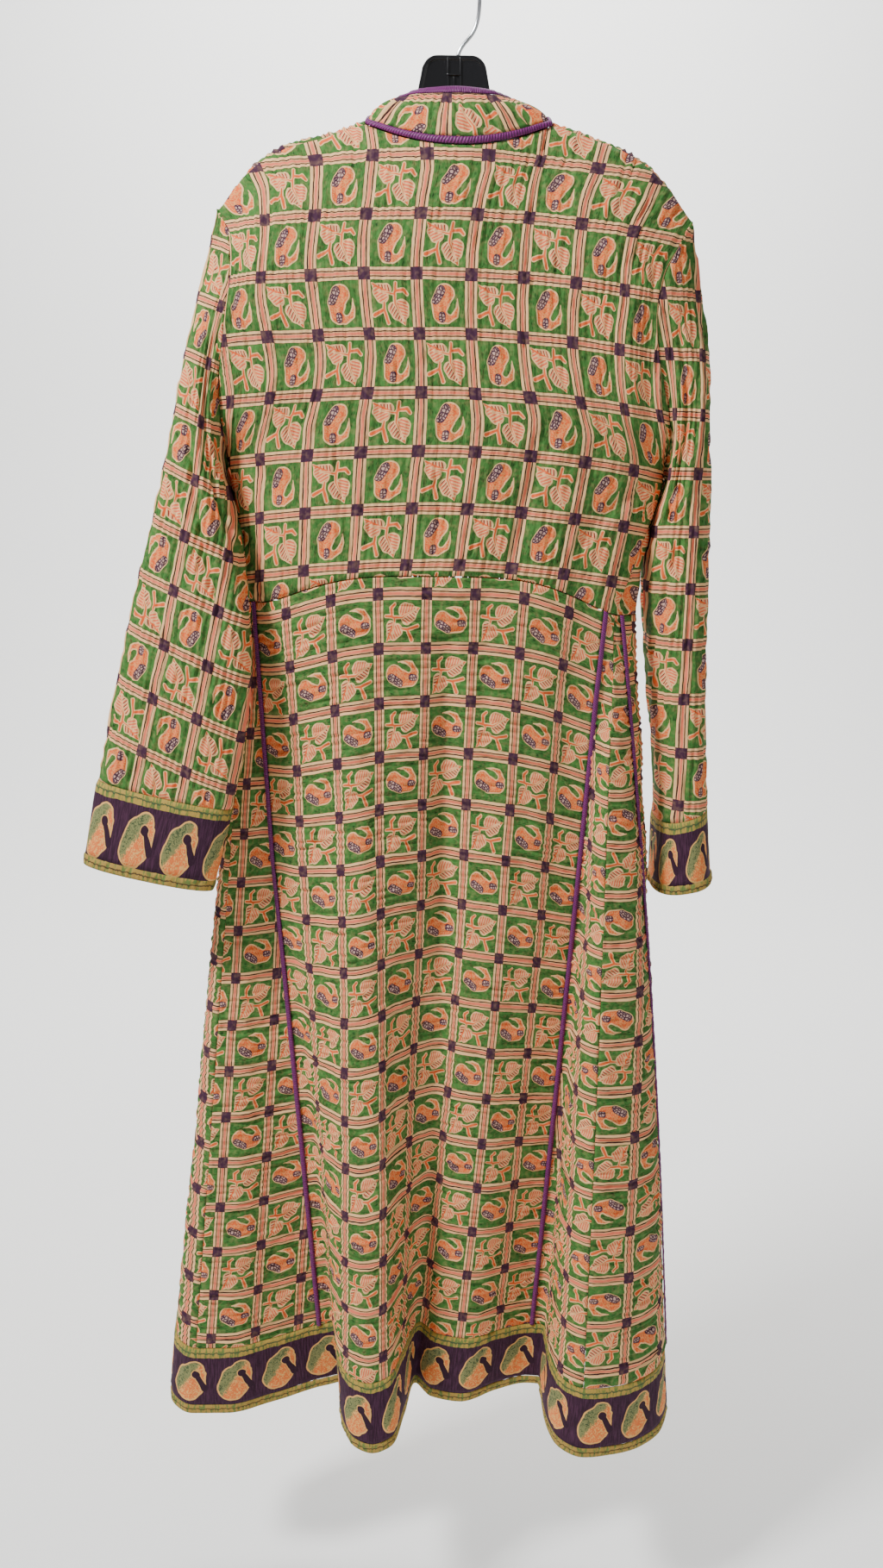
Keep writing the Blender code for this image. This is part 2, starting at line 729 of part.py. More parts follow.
def sleeve_wall(name, side, stations, finish_material, collection, ridges):
    """A length of sleeve as a closed wall."""
    rings, normals = sleeve_surface(side, stations)
    flip = normals[-1][0].x * side
    turned = [[n if flip > 0 else -n for n in row] for row in normals]
    outer = [list(ring) for ring in rings]
    if ridges:
        for r in range(1, len(outer)):
            for c in range(1, len(outer[r]), 2):
                outer[r][c] = rings[r][c] + turned[r][c] * QUILT_RISE
    inner = [every_other([p - n * CLOTH for p, n in zip(*pair)]) for pair in zip(rings, turned)]
    tube(name, outer, inner, finish_material, collection)


def even_steps(start, end, count):
    """Evenly spaced values, both ends kept."""
    return [mix(start, end, k / count) for k in range(count + 1)]


def build_sleeves(cotton, border, binding, collection):
    """The two sleeves, each with its printed cuff and the cuff's bound edge."""
    gap = SEAM / SLEEVE_LENGTH
    for side, word in ((-1, "left"), (1, "right")):
        stations = [*SLEEVE_HEAD, *even_steps(SLEEVE_FIRST_EVEN, CUFF_TOP - gap / 2, SLEEVE_RINGS)]
        sleeve_wall(f"sleeve_{word}", side, stations, cotton, collection, ridges=True)
        stations = [CUFF_TOP + gap / 2, CUFF_FOOT - gap / 2]
        sleeve_wall(f"cuff_{word}", side, stations, border, collection, ridges=False)
        stations = [CUFF_FOOT + gap / 2, 1.0]
        sleeve_wall(f"cuff_binding_{word}", side, stations, binding, collection, ridges=False)


# The skirt

def skirt_rows():
    """Shares down the skirt of its rows, two for each ridge of quilting."""
    return even_steps(0.0, BORDER_TOP, 2 * SKIRT_RIDGES)


def skirt_places():
    """Every column of the skirt, as places round it, and where each panel starts among them."""
    places, starts = [0.0], [0]
    for index, columns in enumerate(PANEL_COLUMNS):
        places += even_steps(index, index + 1, columns)[1:]
        starts.append(len(places) - 1)
    return places, starts


def skirt_wall(name, grid, normals, first, last, finish_material, collection, ridges):
    """A panel or band of the skirt between two of its columns, as a closed wall."""
    outer = [[point.copy() for point in row[first:last + 1]] for row in grid]
    square = [row[first:last + 1] for row in normals]
    columns = last - first + 1
    keep = list(range(0, len(grid), INNER_EVERY if ridges else 1))
    sides = {"top": WAIST_GAP if ridges else INSET}
    plain = pulled_in(outer, **sides)
    inner = [[p - n * CLOTH for p, n in zip(plain[r], square[r])] for r in keep]
    if ridges:
        for r in range(1, len(plain) - 1, 2):
            for c in range(2, columns - 2):
                plain[r][c] = plain[r][c] + square[r][c] * QUILT_RISE
    panel(name, plain, inner, finish_material, collection)


def level_normals(grid):
    """The outward direction at each point of the skirt, kept level."""
    return [[-Vector((n.x, n.y, 0.0)).normalized() for n in row] for row in grid_normals(grid)]


def build_skirt(cotton, border, binding, collection):
    """The seven panels, the printed border round the hem and its bound edge."""
    places, starts = skirt_places()
    everywhere = (0, len(places) - 1)
    grid = [[skirt_point(place, down) for place in places] for down in skirt_rows()]
    normals = level_normals(grid)
    for index, name in enumerate(SKIRT_PANELS):
        skirt_wall(name, grid, normals, starts[index], starts[index + 1], cotton, collection, ridges=True)
    for name, downs, colour in (
        ("hem_border", even_steps(BORDER_TOP, BORDER_FOOT, BORDER_ROWS), border),
        ("hem_binding", [BORDER_FOOT, 1.0], binding),
    ):
        grid = [[skirt_point(place, down) for place in places] for down in downs]
        skirt_wall(name, grid, level_normals(grid), *everywhere, colour, collection, ridges=False)


def build_piping(silk, collection):
    """The piping along the gore seams, a half round laid on the panels' own points."""
    downs = skirt_rows()[::2]
    for seam, name in PIPED_SEAMS.items():
        before = 1 / PANEL_COLUMNS[seam - 1]
        after = 1 / PANEL_COLUMNS[seam]
        outer, inner = [], []
        for down in downs:
            middle = skirt_point(seam, down)
            left = (skirt_point(seam - before, down) - middle).normalized()
            right = (skirt_point(seam + after, down) - middle).normalized()
            across = skirt_point(seam + after, down) - skirt_point(seam - before, down)
            out = Vector((across.y, -across.x, 0.0)).normalized()
            corners = [middle + left * TRIM_WIDTH / 2, middle, middle + right * TRIM_WIDTH / 2]
            base = [point + out * TRIM_LIFT for point in corners]
            heights = (TRIM_SHOULDER, 1.0, TRIM_SHOULDER)
            top = [point + out * TRIM_RISE * height for point, height in zip(base, heights)]
            outer.append(top)
            inner.append(base)
        outer, inner = pulled_in(outer, left=0, right=0), pulled_in(inner, left=0, right=0)
        panel(name, outer, inner, silk, collection)


# The collar

def collar_seam():
    """The neck edge that the collar is sewn to, from the left waist to the right waist."""
    left = [front_point(neck_edge_turn(-1, down), down) for down in FRONT_ROWS[::-1]]
    right = [front_point(neck_edge_turn(1, down), down) for down in FRONT_ROWS]
    first = 2 * SHOULDER_STEPS
    turns = back_turns()[first + 1:first + 2 * NECK_STEPS]
    back = [body_point(turn, 0.0) for turn in turns]
    return left, back, right


def collar_free_edge():
    """The collar's bound edge: up the left front, round the back of the neck and down the right."""
    left, back, right = collar_seam()
    edges = []
    for side, run in ((-1, left), (1, right)):
        edge = []
        for plain, down in zip(run, FRONT_ROWS[::-1] if side < 0 else FRONT_ROWS):
            lap = plain + Vector((-side * BAND_WIDTH_FRONT, BAND_LAP, 0.0))
            stand = Vector([COLLAR_TOP.at(axis, side) for axis in "xyz"])
            stand += Vector((0.0, STAND_FORWARD * down / OVER_SHOULDER, -STAND_FALL * down))
            share = max(0.0, min(1.0, down / STAND_UNTIL))
            share = share * share * (3 - 2 * share)
            edge.append(mix(stand, lap, share))
        edges.append(edge)
    middle = []
    for k in range(len(back)):
        place = mix(-1.0, 1.0, (k + 1) / (len(back) + 1))
        middle.append(Vector([COLLAR_TOP.at(axis, place) for axis in "xyz"]))
    return edges[0], middle, edges[1]


def collar_rows():
    """The collar's points across its width, from the seam (first) to the free edge (last)."""
    seam = [p for run in collar_seam() for p in run]
    free = [p for run in collar_free_edge() for p in run]
    rows = []
    for across in COLLAR_ACROSS:
        row = []
        for k, (s, f) in enumerate(zip(seam, free)):
            before, after = seam[max(0, k - 1)], seam[min(len(seam) - 1, k + 1)]
            along = (after - before).normalized()
            out = along.cross(f - s).normalized()
            if out.dot(s - Vector((0.0, 0.0, s.z))) < 0:
                out = -out
            row.append(mix(s, f, across) + out * BAND_ROLL * math.sin(math.pi * across))
        rows.append(row)
    return rows


def strip(name, rows, outward, first, last, rise, thick, finish_material, collection):
    """A length of the collar between two of its rows, standing up by rise along its middle."""
    outer = [list(rows[r]) for r in range(first, last + 1)]
    inner = [[p - n * thick for p, n in zip(rows[r], outward[r])] for r in range(first, last + 1)]
    for r in range(1, len(outer) - 1):
        outer[r] = [p + n * rise for p, n in zip(outer[r], outward[first + r])]
    sides = {"top": INSET, "foot": INSET, "left": INSET * 2, "right": INSET * 2}
    panel(name, pulled_in(outer, **sides), pulled_in(inner, **sides), finish_material, collection)


def build_collar(cotton, silk, collection):
    """The collar band, the piping in its seam and the binding on its free edge."""
    rows = collar_rows()
    outward = grid_normals(rows)
    strip("collar_piping", rows, outward, 0, 2, TRIM_RISE, TRIM_THICK, silk, collection)
    strip("collar_band", rows, outward, 2, 5, 0.0, CLOTH, cotton, collection)
    strip("collar_binding", rows, outward, 5, 7, TRIM_RISE, CLOTH, silk, collection)


# The hanger

def build_hanger(plastic, collection):
    """The moulded arms, lofted through oval sections, joined with the head that stands above."""
    mesh = bmesh.new()
    outs = HANGER_ARM.column("out")
    places = [-out for out in outs[:0:-1]] + outs
    rings = []
    for x in places:
        depth, height = HANGER_ARM.at("depth", abs(x)), HANGER_ARM.at("height", abs(x))
        top = shoulder_z(x) - HANGER_ARM.at("below", abs(x))
        ring = []
        for k in range(ARM_SIDES):
            angle = math.tau * k / ARM_SIDES
            y = depth * math.cos(angle)
            z = top - height / 2 + height / 2 * math.sin(angle)
            ring.append(Vector((x, y, z)))
        rings.append(ring)
    rows = add_grid(mesh, rings, flip=False, wrap=True)
    mesh.faces.new(rows[0])
    mesh.faces.new(rows[-1][::-1])
    arms = finish("hanger", mesh, plastic, collection)

    bpy.ops.mesh.primitive_cube_add(size=1.0)
    head = bpy.context.object
    head.name = "hanger_head_cutter"
    middle_z = (HEAD_TOP_Z + HEAD_FOOT_Z) / 2
    for vertex in head.data.vertices:
        upper = vertex.co.z > 0
        half = HEAD_TOP_HALF if upper else HEAD_FOOT_HALF
        z = HEAD_TOP_Z if upper else HEAD_FOOT_Z
        x = math.copysign(half, vertex.co.x)
        y = math.copysign(HEAD_THICK / 2, vertex.co.y)
        vertex.co = Vector((x, y, z - middle_z))
    head.location = (0.0, 0.0, middle_z)
    bevel = head.modifiers.new("rounded", "BEVEL")
    bevel.width, bevel.segments, bevel.limit_method = HEAD_ROUND, 2, "NONE"
    head.hide_render = True
    head.display_type = "WIRE"
    for owner in list(head.users_collection):
        owner.objects.unlink(head)
    cutters = bpy.data.collections.new("cutters")
    bpy.context.scene.collection.children.link(cutters)
    cutters.objects.link(head)
    join = arms.modifiers.new("head", "BOOLEAN")
    join.operation, join.solver, join.object = "UNION", "EXACT", head


def build_hook(steel, collection):
    """The wire hook: up from the head, out to the right, and over the rail to the left."""
    rail = HOOK_RADIUS + WIRE / 2
    start = HEAD_TOP_Z + SEAM
    points = [(x, start + up) for x, up in HOOK_STEM.rows]
    for degrees in range(HOOK_FROM, HOOK_TO + 1, HOOK_STEP):
        angle = math.radians(degrees)
        points.append((rail * math.cos(angle), rail * math.sin(angle) - HOOK_RADIUS))
    curve = bpy.data.curves.new("hook", "CURVE")
    curve.dimensions = "3D"
    curve.bevel_depth = WIRE / 2
    curve.bevel_resolution = 2
    curve.use_fill_caps = True
    line = curve.splines.new("POLY")
    line.points.add(len(points) - 1)
    for spot, (x, z) in zip(line.points, points):
        spot.co = (x, 0.0, z, 1.0)
    curve.materials.append(steel)
    hook = bpy.data.objects.new("hook", curve)
    collection.objects.link(hook)


def main():
    """Builds every piece of the robe and its hanger."""
    for thing in list(bpy.data.objects):
        bpy.data.objects.remove(thing)
    robe = bpy.data.collections.new("quilted_robe")
    bpy.context.scene.collection.children.link(robe)
    cotton = material("printed_cotton", (0.12, 0.25, 0.06), 0.85)
    border = material("border_cotton", (0.08, 0.03, 0.06), 0.85)
    binding = material("edge_cotton", (0.45, 0.38, 0.22), 0.85)
    silk = material("piping_silk", (0.22, 0.02, 0.20), 0.6)
    plastic = material("hanger_plastic", (0.012, 0.012, 0.014), 0.2)
    steel = material("hook_steel", (0.6, 0.6, 0.6), 0.2, metallic=1.0)
    build_bodice(cotton, robe)
    build_sleeves(cotton, border, binding, robe)
    build_skirt(cotton, border, binding, robe)
    build_piping(silk, robe)
    build_collar(cotton, silk, robe)
    build_hanger(plastic, robe)
    build_hook(steel, robe)


main()
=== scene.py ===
"""The looks of a long quilted robe: block-printed cotton, its borders and trims, and its hanger.

Lengths are metres, and the print is drawn in millimetres. The back of the robe faces -Y. Each piece of
cloth follows the form of the solid that it stands for, with its quilting and creases in finer steps.
"""

import logging
import math
from dataclasses import dataclass, replace
from enum import Enum
from typing import Callable

import bmesh
import bpy
import numpy as np
from mathutils import Matrix, Vector


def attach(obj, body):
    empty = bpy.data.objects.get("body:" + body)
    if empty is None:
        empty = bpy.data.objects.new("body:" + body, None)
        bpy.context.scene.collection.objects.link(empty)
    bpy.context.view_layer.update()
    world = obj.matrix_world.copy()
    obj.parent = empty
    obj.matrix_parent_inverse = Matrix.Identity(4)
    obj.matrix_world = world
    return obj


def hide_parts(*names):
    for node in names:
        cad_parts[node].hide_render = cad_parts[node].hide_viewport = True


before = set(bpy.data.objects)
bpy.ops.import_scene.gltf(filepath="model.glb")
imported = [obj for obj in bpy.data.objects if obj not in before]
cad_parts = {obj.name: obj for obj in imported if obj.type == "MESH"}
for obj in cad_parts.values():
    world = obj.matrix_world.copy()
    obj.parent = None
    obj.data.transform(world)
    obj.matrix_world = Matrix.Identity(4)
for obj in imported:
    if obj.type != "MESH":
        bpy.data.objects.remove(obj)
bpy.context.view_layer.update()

Array = np.ndarray
Shape = Callable[[Array, Array], Array]
Socket = bpy.types.NodeSocket
Material = bpy.types.Material
Spot = tuple[float, float, float]
MM = 0.001
PRINT_MAP = "print"
log = logging.getLogger("quilted_robe")


# Reading tables and noise


class Table:
    """Rows of sizes under named columns, read smoothly along the first column."""

    def __init__(self, columns: str, *rows: tuple[float, ...]) -> None:
        """Keeps the rows as one array.

        Args:
            columns: The columns' names, with spaces between.
            rows: A tuple of numbers for each row.
        """
        self.columns = columns.split()
        self.values = np.array(rows, dtype=float)

    def column(self, name: str) -> Array:
        """All the values of one column."""
        return self.values[:, self.columns.index(name)]

    def at(self, name: str, where: Array | float) -> Array:
        """One column's values at the given places."""
        return smooth_read(self.values[:, 0], self.column(name), where)


def smooth_read(keys: Array, values: Array, where: Array | float) -> Array:
    """Reads values by a cubic that never overshoots them.

    Args:
        keys: Rising places that the values stand at.
        values: A value for each key.
        where: The places to read.

    Returns:
        A value for each place.
    """
    slopes = np.diff(values) / np.diff(keys)
    product = slopes[:-1] * slopes[1:]
    same_way = product > 0
    total = np.where(same_way, slopes[:-1] + slopes[1:], 1.0)
    inner = np.where(same_way, 2 * product / total, 0.0)
    tangents = np.concatenate((slopes[:1], inner, slopes[-1:]))
    where = np.clip(where, keys[0], keys[-1])
    i = np.clip(np.searchsorted(keys, where, side="right") - 1, 0, len(keys) - 2)
    width = keys[i + 1] - keys[i]
    t = (where - keys[i]) / width
    return (
        values[i] * (2 * t**3 - 3 * t**2 + 1)
        + tangents[i] * width * (t**3 - 2 * t**2 + t)
        + values[i + 1] * (3 * t**2 - 2 * t**3)
        + tangents[i + 1] * width * (t**3 - t**2)
    )


def mix(a: Array | float, b: Array | float, share: Array | float) -> Array:
    """Straight blend of two values."""
    return a + (b - a) * share


def ease(share: Array) -> Array:
    """A soft step from 0 to 1."""
    share = np.clip(share, 0.0, 1.0)
    return share * share * (3 - 2 * share)


def signed_power(value: Array, exponent: float) -> Array:
    """A power that keeps the value's sign, for rounded sections."""
    return np.sign(value) * np.abs(value) ** exponent


def stack(x: Array, y: Array, z: Array) -> Array:
    """Points from their three coordinates."""
    return np.stack(np.broadcast_arrays(x, y, z), axis=-1)


def soft_noise(x: Array, y: Array, size_x: float, size_y: float, seed: int) -> Array:
    """Smooth noise from -1 to 1.

    Args:
        x: Places across, in metres.
        y: Places along, in metres.
        size_x: Size of a lump across.
        size_y: Size of a lump along.
        seed: Which pattern to draw.

    Returns:
        A height for each place.
    """
    lattice = np.random.default_rng(seed).uniform(-1.0, 1.0, (128, 128))
    grid_x, grid_y = x / size_x, y / size_y
    i, j = np.floor(grid_x).astype(int), np.floor(grid_y).astype(int)
    s, t = ease(grid_x - i), ease(grid_y - j)
    near = mix(lattice[i % 128, j % 128], lattice[(i + 1) % 128, j % 128], s)
    far = mix(lattice[i % 128, (j + 1) % 128], lattice[(i + 1) % 128, (j + 1) % 128], s)
    return mix(near, far, t)


# The forms of the robe


@dataclass(frozen=True)
class TorsoForm:
    """The hanging shape of the bodice, from the shoulders to the waist seam."""

    super: float = 0.8
    neck_half: float = 0.084
    neck_centre: float = 0.005
    neck_back_z: float = -0.161
    neck_back_depth: float = 0.045
    seam_drop: float = 0.007
    seam_depth: float = 0.020
    armpit: float = 0.64
    waist_back_z: float = -0.536
    waist_front_z: float = -0.574
    waist_left_drop: float = 0.028
    waist_right_drop: float = 0.036
    waist_drop_turn: float = 62.0
    waist_centre_x: float = -0.006
    back_depth: float = 0.062
    front_depth: float = 0.056
    depth_grows_over: float = 0.065
    over_shoulder: float = 0.06
    over_reach: float = 0.0261
    over_rise: float = 0.0196
    over_from: float = 140.0
    over_to: float = 10.0
    front_side_turn: float = 90.01
    band_width: float = 0.043
    front_gap: float = 0.003
    front_edge_x: float = 0.012
    left_seam_turn: float = -73.0
    right_seam_turn: float = 56.5
    shoulder: Table = Table(
        "out left right",
        (0.060, -0.1265, -0.1245),
        (0.083, -0.1335, -0.1300),
        (0.100, -0.1390, -0.1345),
        (0.122, -0.1455, -0.1415),
        (0.148, -0.1525, -0.1500),
        (0.168, -0.1620, -0.1605),
        (0.182, -0.1720, -0.1705),
        (0.198, -0.1890, -0.1865),
        (0.210, -0.2045, -0.2025),
        (0.218, -0.2130, -0.2120),
    )
    side: Table = Table(
        "down left right back front",
        (0.00, -0.2130, 0.2180, 0.020, 0.012),
        (0.06, -0.2010, 0.2060, 0.030, 0.018),
        (0.14, -0.1990, 0.1910, 0.040, 0.030),
        (0.24, -0.2030, 0.1860, 0.046, 0.036),
        (0.34, -0.2080, 0.1900, 0.045, 0.036),
        (0.44, -0.2115, 0.1990, 0.038, 0.031),
        (0.54, -0.2110, 0.2050, 0.024, 0.021),
        (0.64, -0.2080, 0.2040, 0.000, 0.000),
        (0.76, -0.2030, 0.1950, 0.000, 0.000),
        (0.88, -0.1990, 0.1880, 0.000, 0.000),
        (1.00, -0.1960, 0.1840, 0.000, 0.000),
    )
    folds: Table = Table(
        "turn depth width",
        (-62.0, 0.0035, 9.0),
        (-38.0, 0.0025, 8.0),
        (-12.0, 0.0020, 7.0),
        (16.0, 0.0025, 7.0),
        (40.0, 0.0040, 8.0),
        (118.0, 0.0030, 9.0),
        (146.0, 0.0030, 8.0),
        (-118.0, 0.0030, 9.0),
        (-146.0, 0.0030, 8.0),
    )

    def shoulder_z(self, x: Array) -> Array:
        """Height of the shoulders at a distance out from the centre."""
        out = np.abs(x)
        return np.where(x > 0, self.shoulder.at("right", out), self.shoulder.at("left", out))

    def waist_z(self, turn: Array) -> Array:
        """Height of the waist seam, which rises at the centre back."""
        drop = np.where(turn > 0, self.waist_right_drop, self.waist_left_drop)
        at_side = self.waist_back_z - drop
        share = np.minimum(1.0, np.abs(turn) / self.waist_drop_turn)
        behind = mix(self.waist_back_z, at_side, np.sin(np.pi / 2 * share) ** 3)
        ahead = mix(self.waist_front_z, at_side, np.sin(np.radians(turn)) ** 2)
        return np.where(np.abs(turn) > 90, ahead, behind)

    def centre_x(self, down: Array) -> Array:
        """The centre line moves a little to the left on its way down."""
        return self.waist_centre_x * down

    def half_width(self, turn: Array, down: Array) -> Array:
        """How far the body reaches sideways, on the side that turn is on."""
        edge = np.where(turn >= 0, self.side.at("right", down), self.side.at("left", down))
        return np.abs(edge - self.centre_x(down))

    def side_turn(self, side: int, down: Array, armhole_turn: float = 90.0) -> Array:
        """Degrees round of the side seam, which comes towards the back below the armpit."""
        at_waist = self.right_seam_turn if side > 0 else self.left_seam_turn
        share = np.maximum(0.0, (down - self.armpit) / (1 - self.armpit))
        return mix(armhole_turn * side, at_waist, share)

    def fold_depth(self, turn: Array, down: Array) -> Array:
        """How far the soft folds push the bodice in."""
        grows = np.maximum(0.0, (down - 0.25) / 0.75) ** 1.3
        return grows * sum(d * np.exp(-(((turn - at) / w) ** 2)) for at, d, w in self.folds.values)

    def point(self, turn: Array, down: Array) -> Array:
        """Points of the bodice: turn in degrees from the centre back, down from 0 to 1."""
        sine = signed_power(np.sin(np.radians(turn)), self.super)
        cosine = np.abs(np.cos(np.radians(turn))) ** self.super
        behind = np.abs(turn) <= 90
        x = self.centre_x(down) + self.half_width(turn, down) * sine
        x_top = self.half_width(turn, np.zeros_like(down)) * sine
        off = x_top - self.neck_centre
        neck = np.where(behind, np.maximum(0.0, 1 - (off / self.neck_half) ** 2), 0.0)
        beyond = np.sign(off) * np.maximum(np.abs(off), self.neck_half)
        shoulder = self.shoulder_z(self.neck_centre + beyond) - self.seam_drop
        top = mix(shoulder, self.neck_back_z, neck)
        z = mix(top, self.waist_z(turn), down)
        start = mix(self.seam_depth, self.neck_back_depth, neck)
        full = np.where(behind, self.back_depth, self.front_depth)
        grown = 1 - np.exp(-(top - z) / self.depth_grows_over)
        depth = mix(start, full, grown) - self.fold_depth(turn, down)
        edge = np.where(behind, self.side.at("back", down), self.side.at("front", down))
        y = edge + (depth - edge) * cosine
        return stack(x, np.where(behind, -y, y), z)

    def neck_edge_turn(self, side: int, down: Array) -> Array:
        """Degrees round of the front neck edge, from the neck point to the waist."""
        eased = np.sin(np.radians(90 * np.minimum(1.0, down))) ** 0.9
        x = side * mix(self.neck_half, self.band_width + self.front_gap, eased)
        x = x + mix(self.neck_centre, self.front_edge_x, np.minimum(1.0, down))
        reach = np.abs(x - self.centre_x(down)) / self.half_width(np.full_like(down, side), down)
        return side * (180 - np.degrees(np.arcsin(np.minimum(1.0, reach) ** (1 / self.super))))

    def front_point(self, turn: Array, down: Array) -> Array:
        """Points of a front, whose first rows pass over the shoulder from the seam behind."""
        plain = self.point(turn, down)
        share = np.minimum(1.0, down / self.over_shoulder)
        angle = np.radians(mix(self.over_from, self.over_to, share))
        sine = signed_power(np.sin(np.radians(turn)), self.super)
        x_top = self.half_width(turn, np.zeros_like(down)) * sine
        z = self.shoulder_z(x_top) - self.over_rise * (1 - np.sin(angle))
        over = stack(plain[..., 0], self.over_reach * np.cos(angle), z)
        return np.where((down > self.over_shoulder)[..., None], plain, over)

    def waist_point(self, turn: Array) -> Array:
        """Points of the waist seam."""
        sine = signed_power(np.sin(np.radians(turn)), self.super)
        cosine = signed_power(np.cos(np.radians(turn)), self.super)
        one = np.ones_like(turn)
        depth = np.where(np.abs(turn) <= 90, self.back_depth, self.front_depth)
        y = -cosine * (depth - self.fold_depth(turn, one))
        return stack(self.centre_x(one) + self.half_width(turn, one) * sine, y, self.waist_z(turn))

    def front_edge_turn(self, side: int) -> float:
        """Degrees round the waist of a front opening edge."""
        x = self.front_edge_x + side * self.front_gap
        one = np.ones(1)
        share = (x - self.centre_x(one)) / self.half_width(one * side, one)
        back_turn = np.degrees(np.arcsin(signed_power(share, 1 / self.super)))[0]
        return float(math.copysign(180, side) - back_turn)


@dataclass(frozen=True)
class SkirtForm:
    """The hanging shape of the skirt, whose folds open towards a hem seen from above."""

    torso: TorsoForm = TorsoForm()
    hem_z: float = -1.430
    hem_lean: float = 0.14
    hem_nearest_y: float = -0.090
    border_top: float = 0.911
    border_foot: float = 0.988
    fold_window: float = 0.055
    fold_growth: float = 0.9
    window_steps: int = 4
    right_swell: float = 0.008
    hem_right_x: float = 0.251
    seams: Table = Table(
        "seam waist_turn hem_station",
        (0, -180.0, 0),
        (1, -79.0, 6),
        (2, -73.0, 9),
        (3, -67.0, 12),
        (4, 51.2, 23),
        (5, 56.5, 27),
        (6, 61.7, 31),
        (7, 180.0, 37),
    )
    hem: Table = Table(
        "station x y starts drop",
        (0, 0.004, 0.082, 0.00, 0.030),
        (1, -0.052, 0.068, 0.10, 0.030),
        (2, -0.098, 0.094, 0.10, 0.028),
        (3, -0.146, 0.074, 0.15, 0.024),
        (4, -0.196, 0.090, 0.15, 0.018),
        (5, -0.240, 0.070, 0.10, 0.012),
        (6, -0.278, 0.040, 0.00, 0.006),
        (7, -0.292, 0.008, 0.00, 0.000),
        (8, -0.288, -0.024, 0.00, 0.004),
        (9, -0.262, -0.044, 0.00, 0.006),
        (10, -0.222, -0.043, 0.10, 0.006),
        (11, -0.176, -0.026, 0.20, 0.006),
        (12, -0.122, -0.006, 0.30, 0.003),
        (13, -0.106, -0.004, 0.35, 0.000),
        (14, -0.101, -0.050, 0.35, 0.006),
        (15, -0.087, -0.078, 0.30, 0.012),
        (16, -0.066, -0.087, 0.20, 0.013),
        (17, -0.044, -0.080, 0.05, 0.008),
        (18, -0.033, -0.048, 0.00, 0.000),
        (19, -0.023, -0.004, 0.00, 0.000),
        (20, -0.006, -0.023, 0.00, 0.000),
        (21, 0.026, -0.030, 0.05, 0.000),
        (22, 0.066, -0.012, 0.05, 0.000),
        (23, 0.098, -0.002, 0.10, 0.000),
        (24, 0.111, -0.003, 0.14, 0.000),
        (25, 0.114, -0.046, 0.14, 0.002),
        (26, 0.124, -0.080, 0.10, 0.004),
        (27, 0.150, -0.096, 0.05, 0.006),
        (28, 0.182, -0.088, 0.00, 0.010),
        (29, 0.214, -0.074, 0.00, 0.013),
        (30, 0.240, -0.052, 0.00, 0.012),
        (31, 0.251, -0.020, 0.00, 0.008),
        (32, 0.243, 0.024, 0.00, 0.004),
        (33, 0.212, 0.060, 0.10, 0.010),
        (34, 0.166, 0.088, 0.15, 0.018),
        (35, 0.120, 0.070, 0.15, 0.024),
        (36, 0.072, 0.092, 0.10, 0.028),
        (37, 0.014, 0.080, 0.00, 0.030),
    )

    def shares(self) -> Array:
        """Each hem station's share of the way round."""
        steps = np.hypot(np.diff(self.hem.column("x")), np.diff(self.hem.column("y")))
        run = np.concatenate(([0.0], np.cumsum(steps)))
        return run / run[-1]

    def read(self, name: str, share: Array) -> Array:
        """One column of the hem at a share of the way round."""
        return smooth_read(self.shares(), self.hem.column(name), np.clip(share, 0.0, 1.0))

    def calm(self, name: str, share: Array) -> Array:
        """The hem's x or y with its folds smoothed away."""
        steps = range(-self.window_steps, self.window_steps + 1)
        near = [self.read(name, share + self.fold_window * k / self.window_steps) for k in steps]
        edge = np.minimum(1.0, np.minimum(share, 1 - share) / self.fold_window)
        return mix(self.read(name, share), sum(near) / len(near), edge)

    def turn(self, place: Array) -> Array:
        """Degrees round the waist, for a place that counts the panels from 0 to 7."""
        turns = self.seams.column("waist_turn").copy()
        turns[0], turns[-1] = self.torso.front_edge_turn(-1), self.torso.front_edge_turn(1)
        return np.interp(place, self.seams.column("seam"), turns)

    def share(self, place: Array) -> Array:
        """Share of the way round the hem, for the same place."""
        marks = self.shares()[self.seams.column("hem_station").astype(int)]
        return np.interp(place, self.seams.column("seam"), marks)

    def point(self, place: Array, down: Array) -> Array:
        """Points of the skirt: place from 0 to 7 round it, down from the waist to the hem."""
        waist = self.torso.waist_point(self.turn(place))
        share = self.share(place)
        calm_x, calm_y = self.calm("x", share), self.calm("y", share)
        fold_x, fold_y = self.read("x", share), self.read("y", share)
        starts = self.read("starts", share)
        grows = np.maximum(0.0, (down - starts) / (1 - starts)) ** self.fold_growth
        lean = self.hem_lean * (np.minimum(fold_y, 0.0) - self.hem_nearest_y)
        hem_z = self.hem_z + lean - self.read("drop", share)
        swell = np.maximum(0.0, calm_x / self.hem_right_x) ** 3
        x = mix(waist[..., 0], calm_x, down) + (fold_x - calm_x) * grows
        x = x + self.right_swell * np.sin(np.pi * down) * swell
        y = mix(waist[..., 1], calm_y, down) + (fold_y - calm_y) * grows
        return stack(x, y, mix(waist[..., 2], hem_z, down))


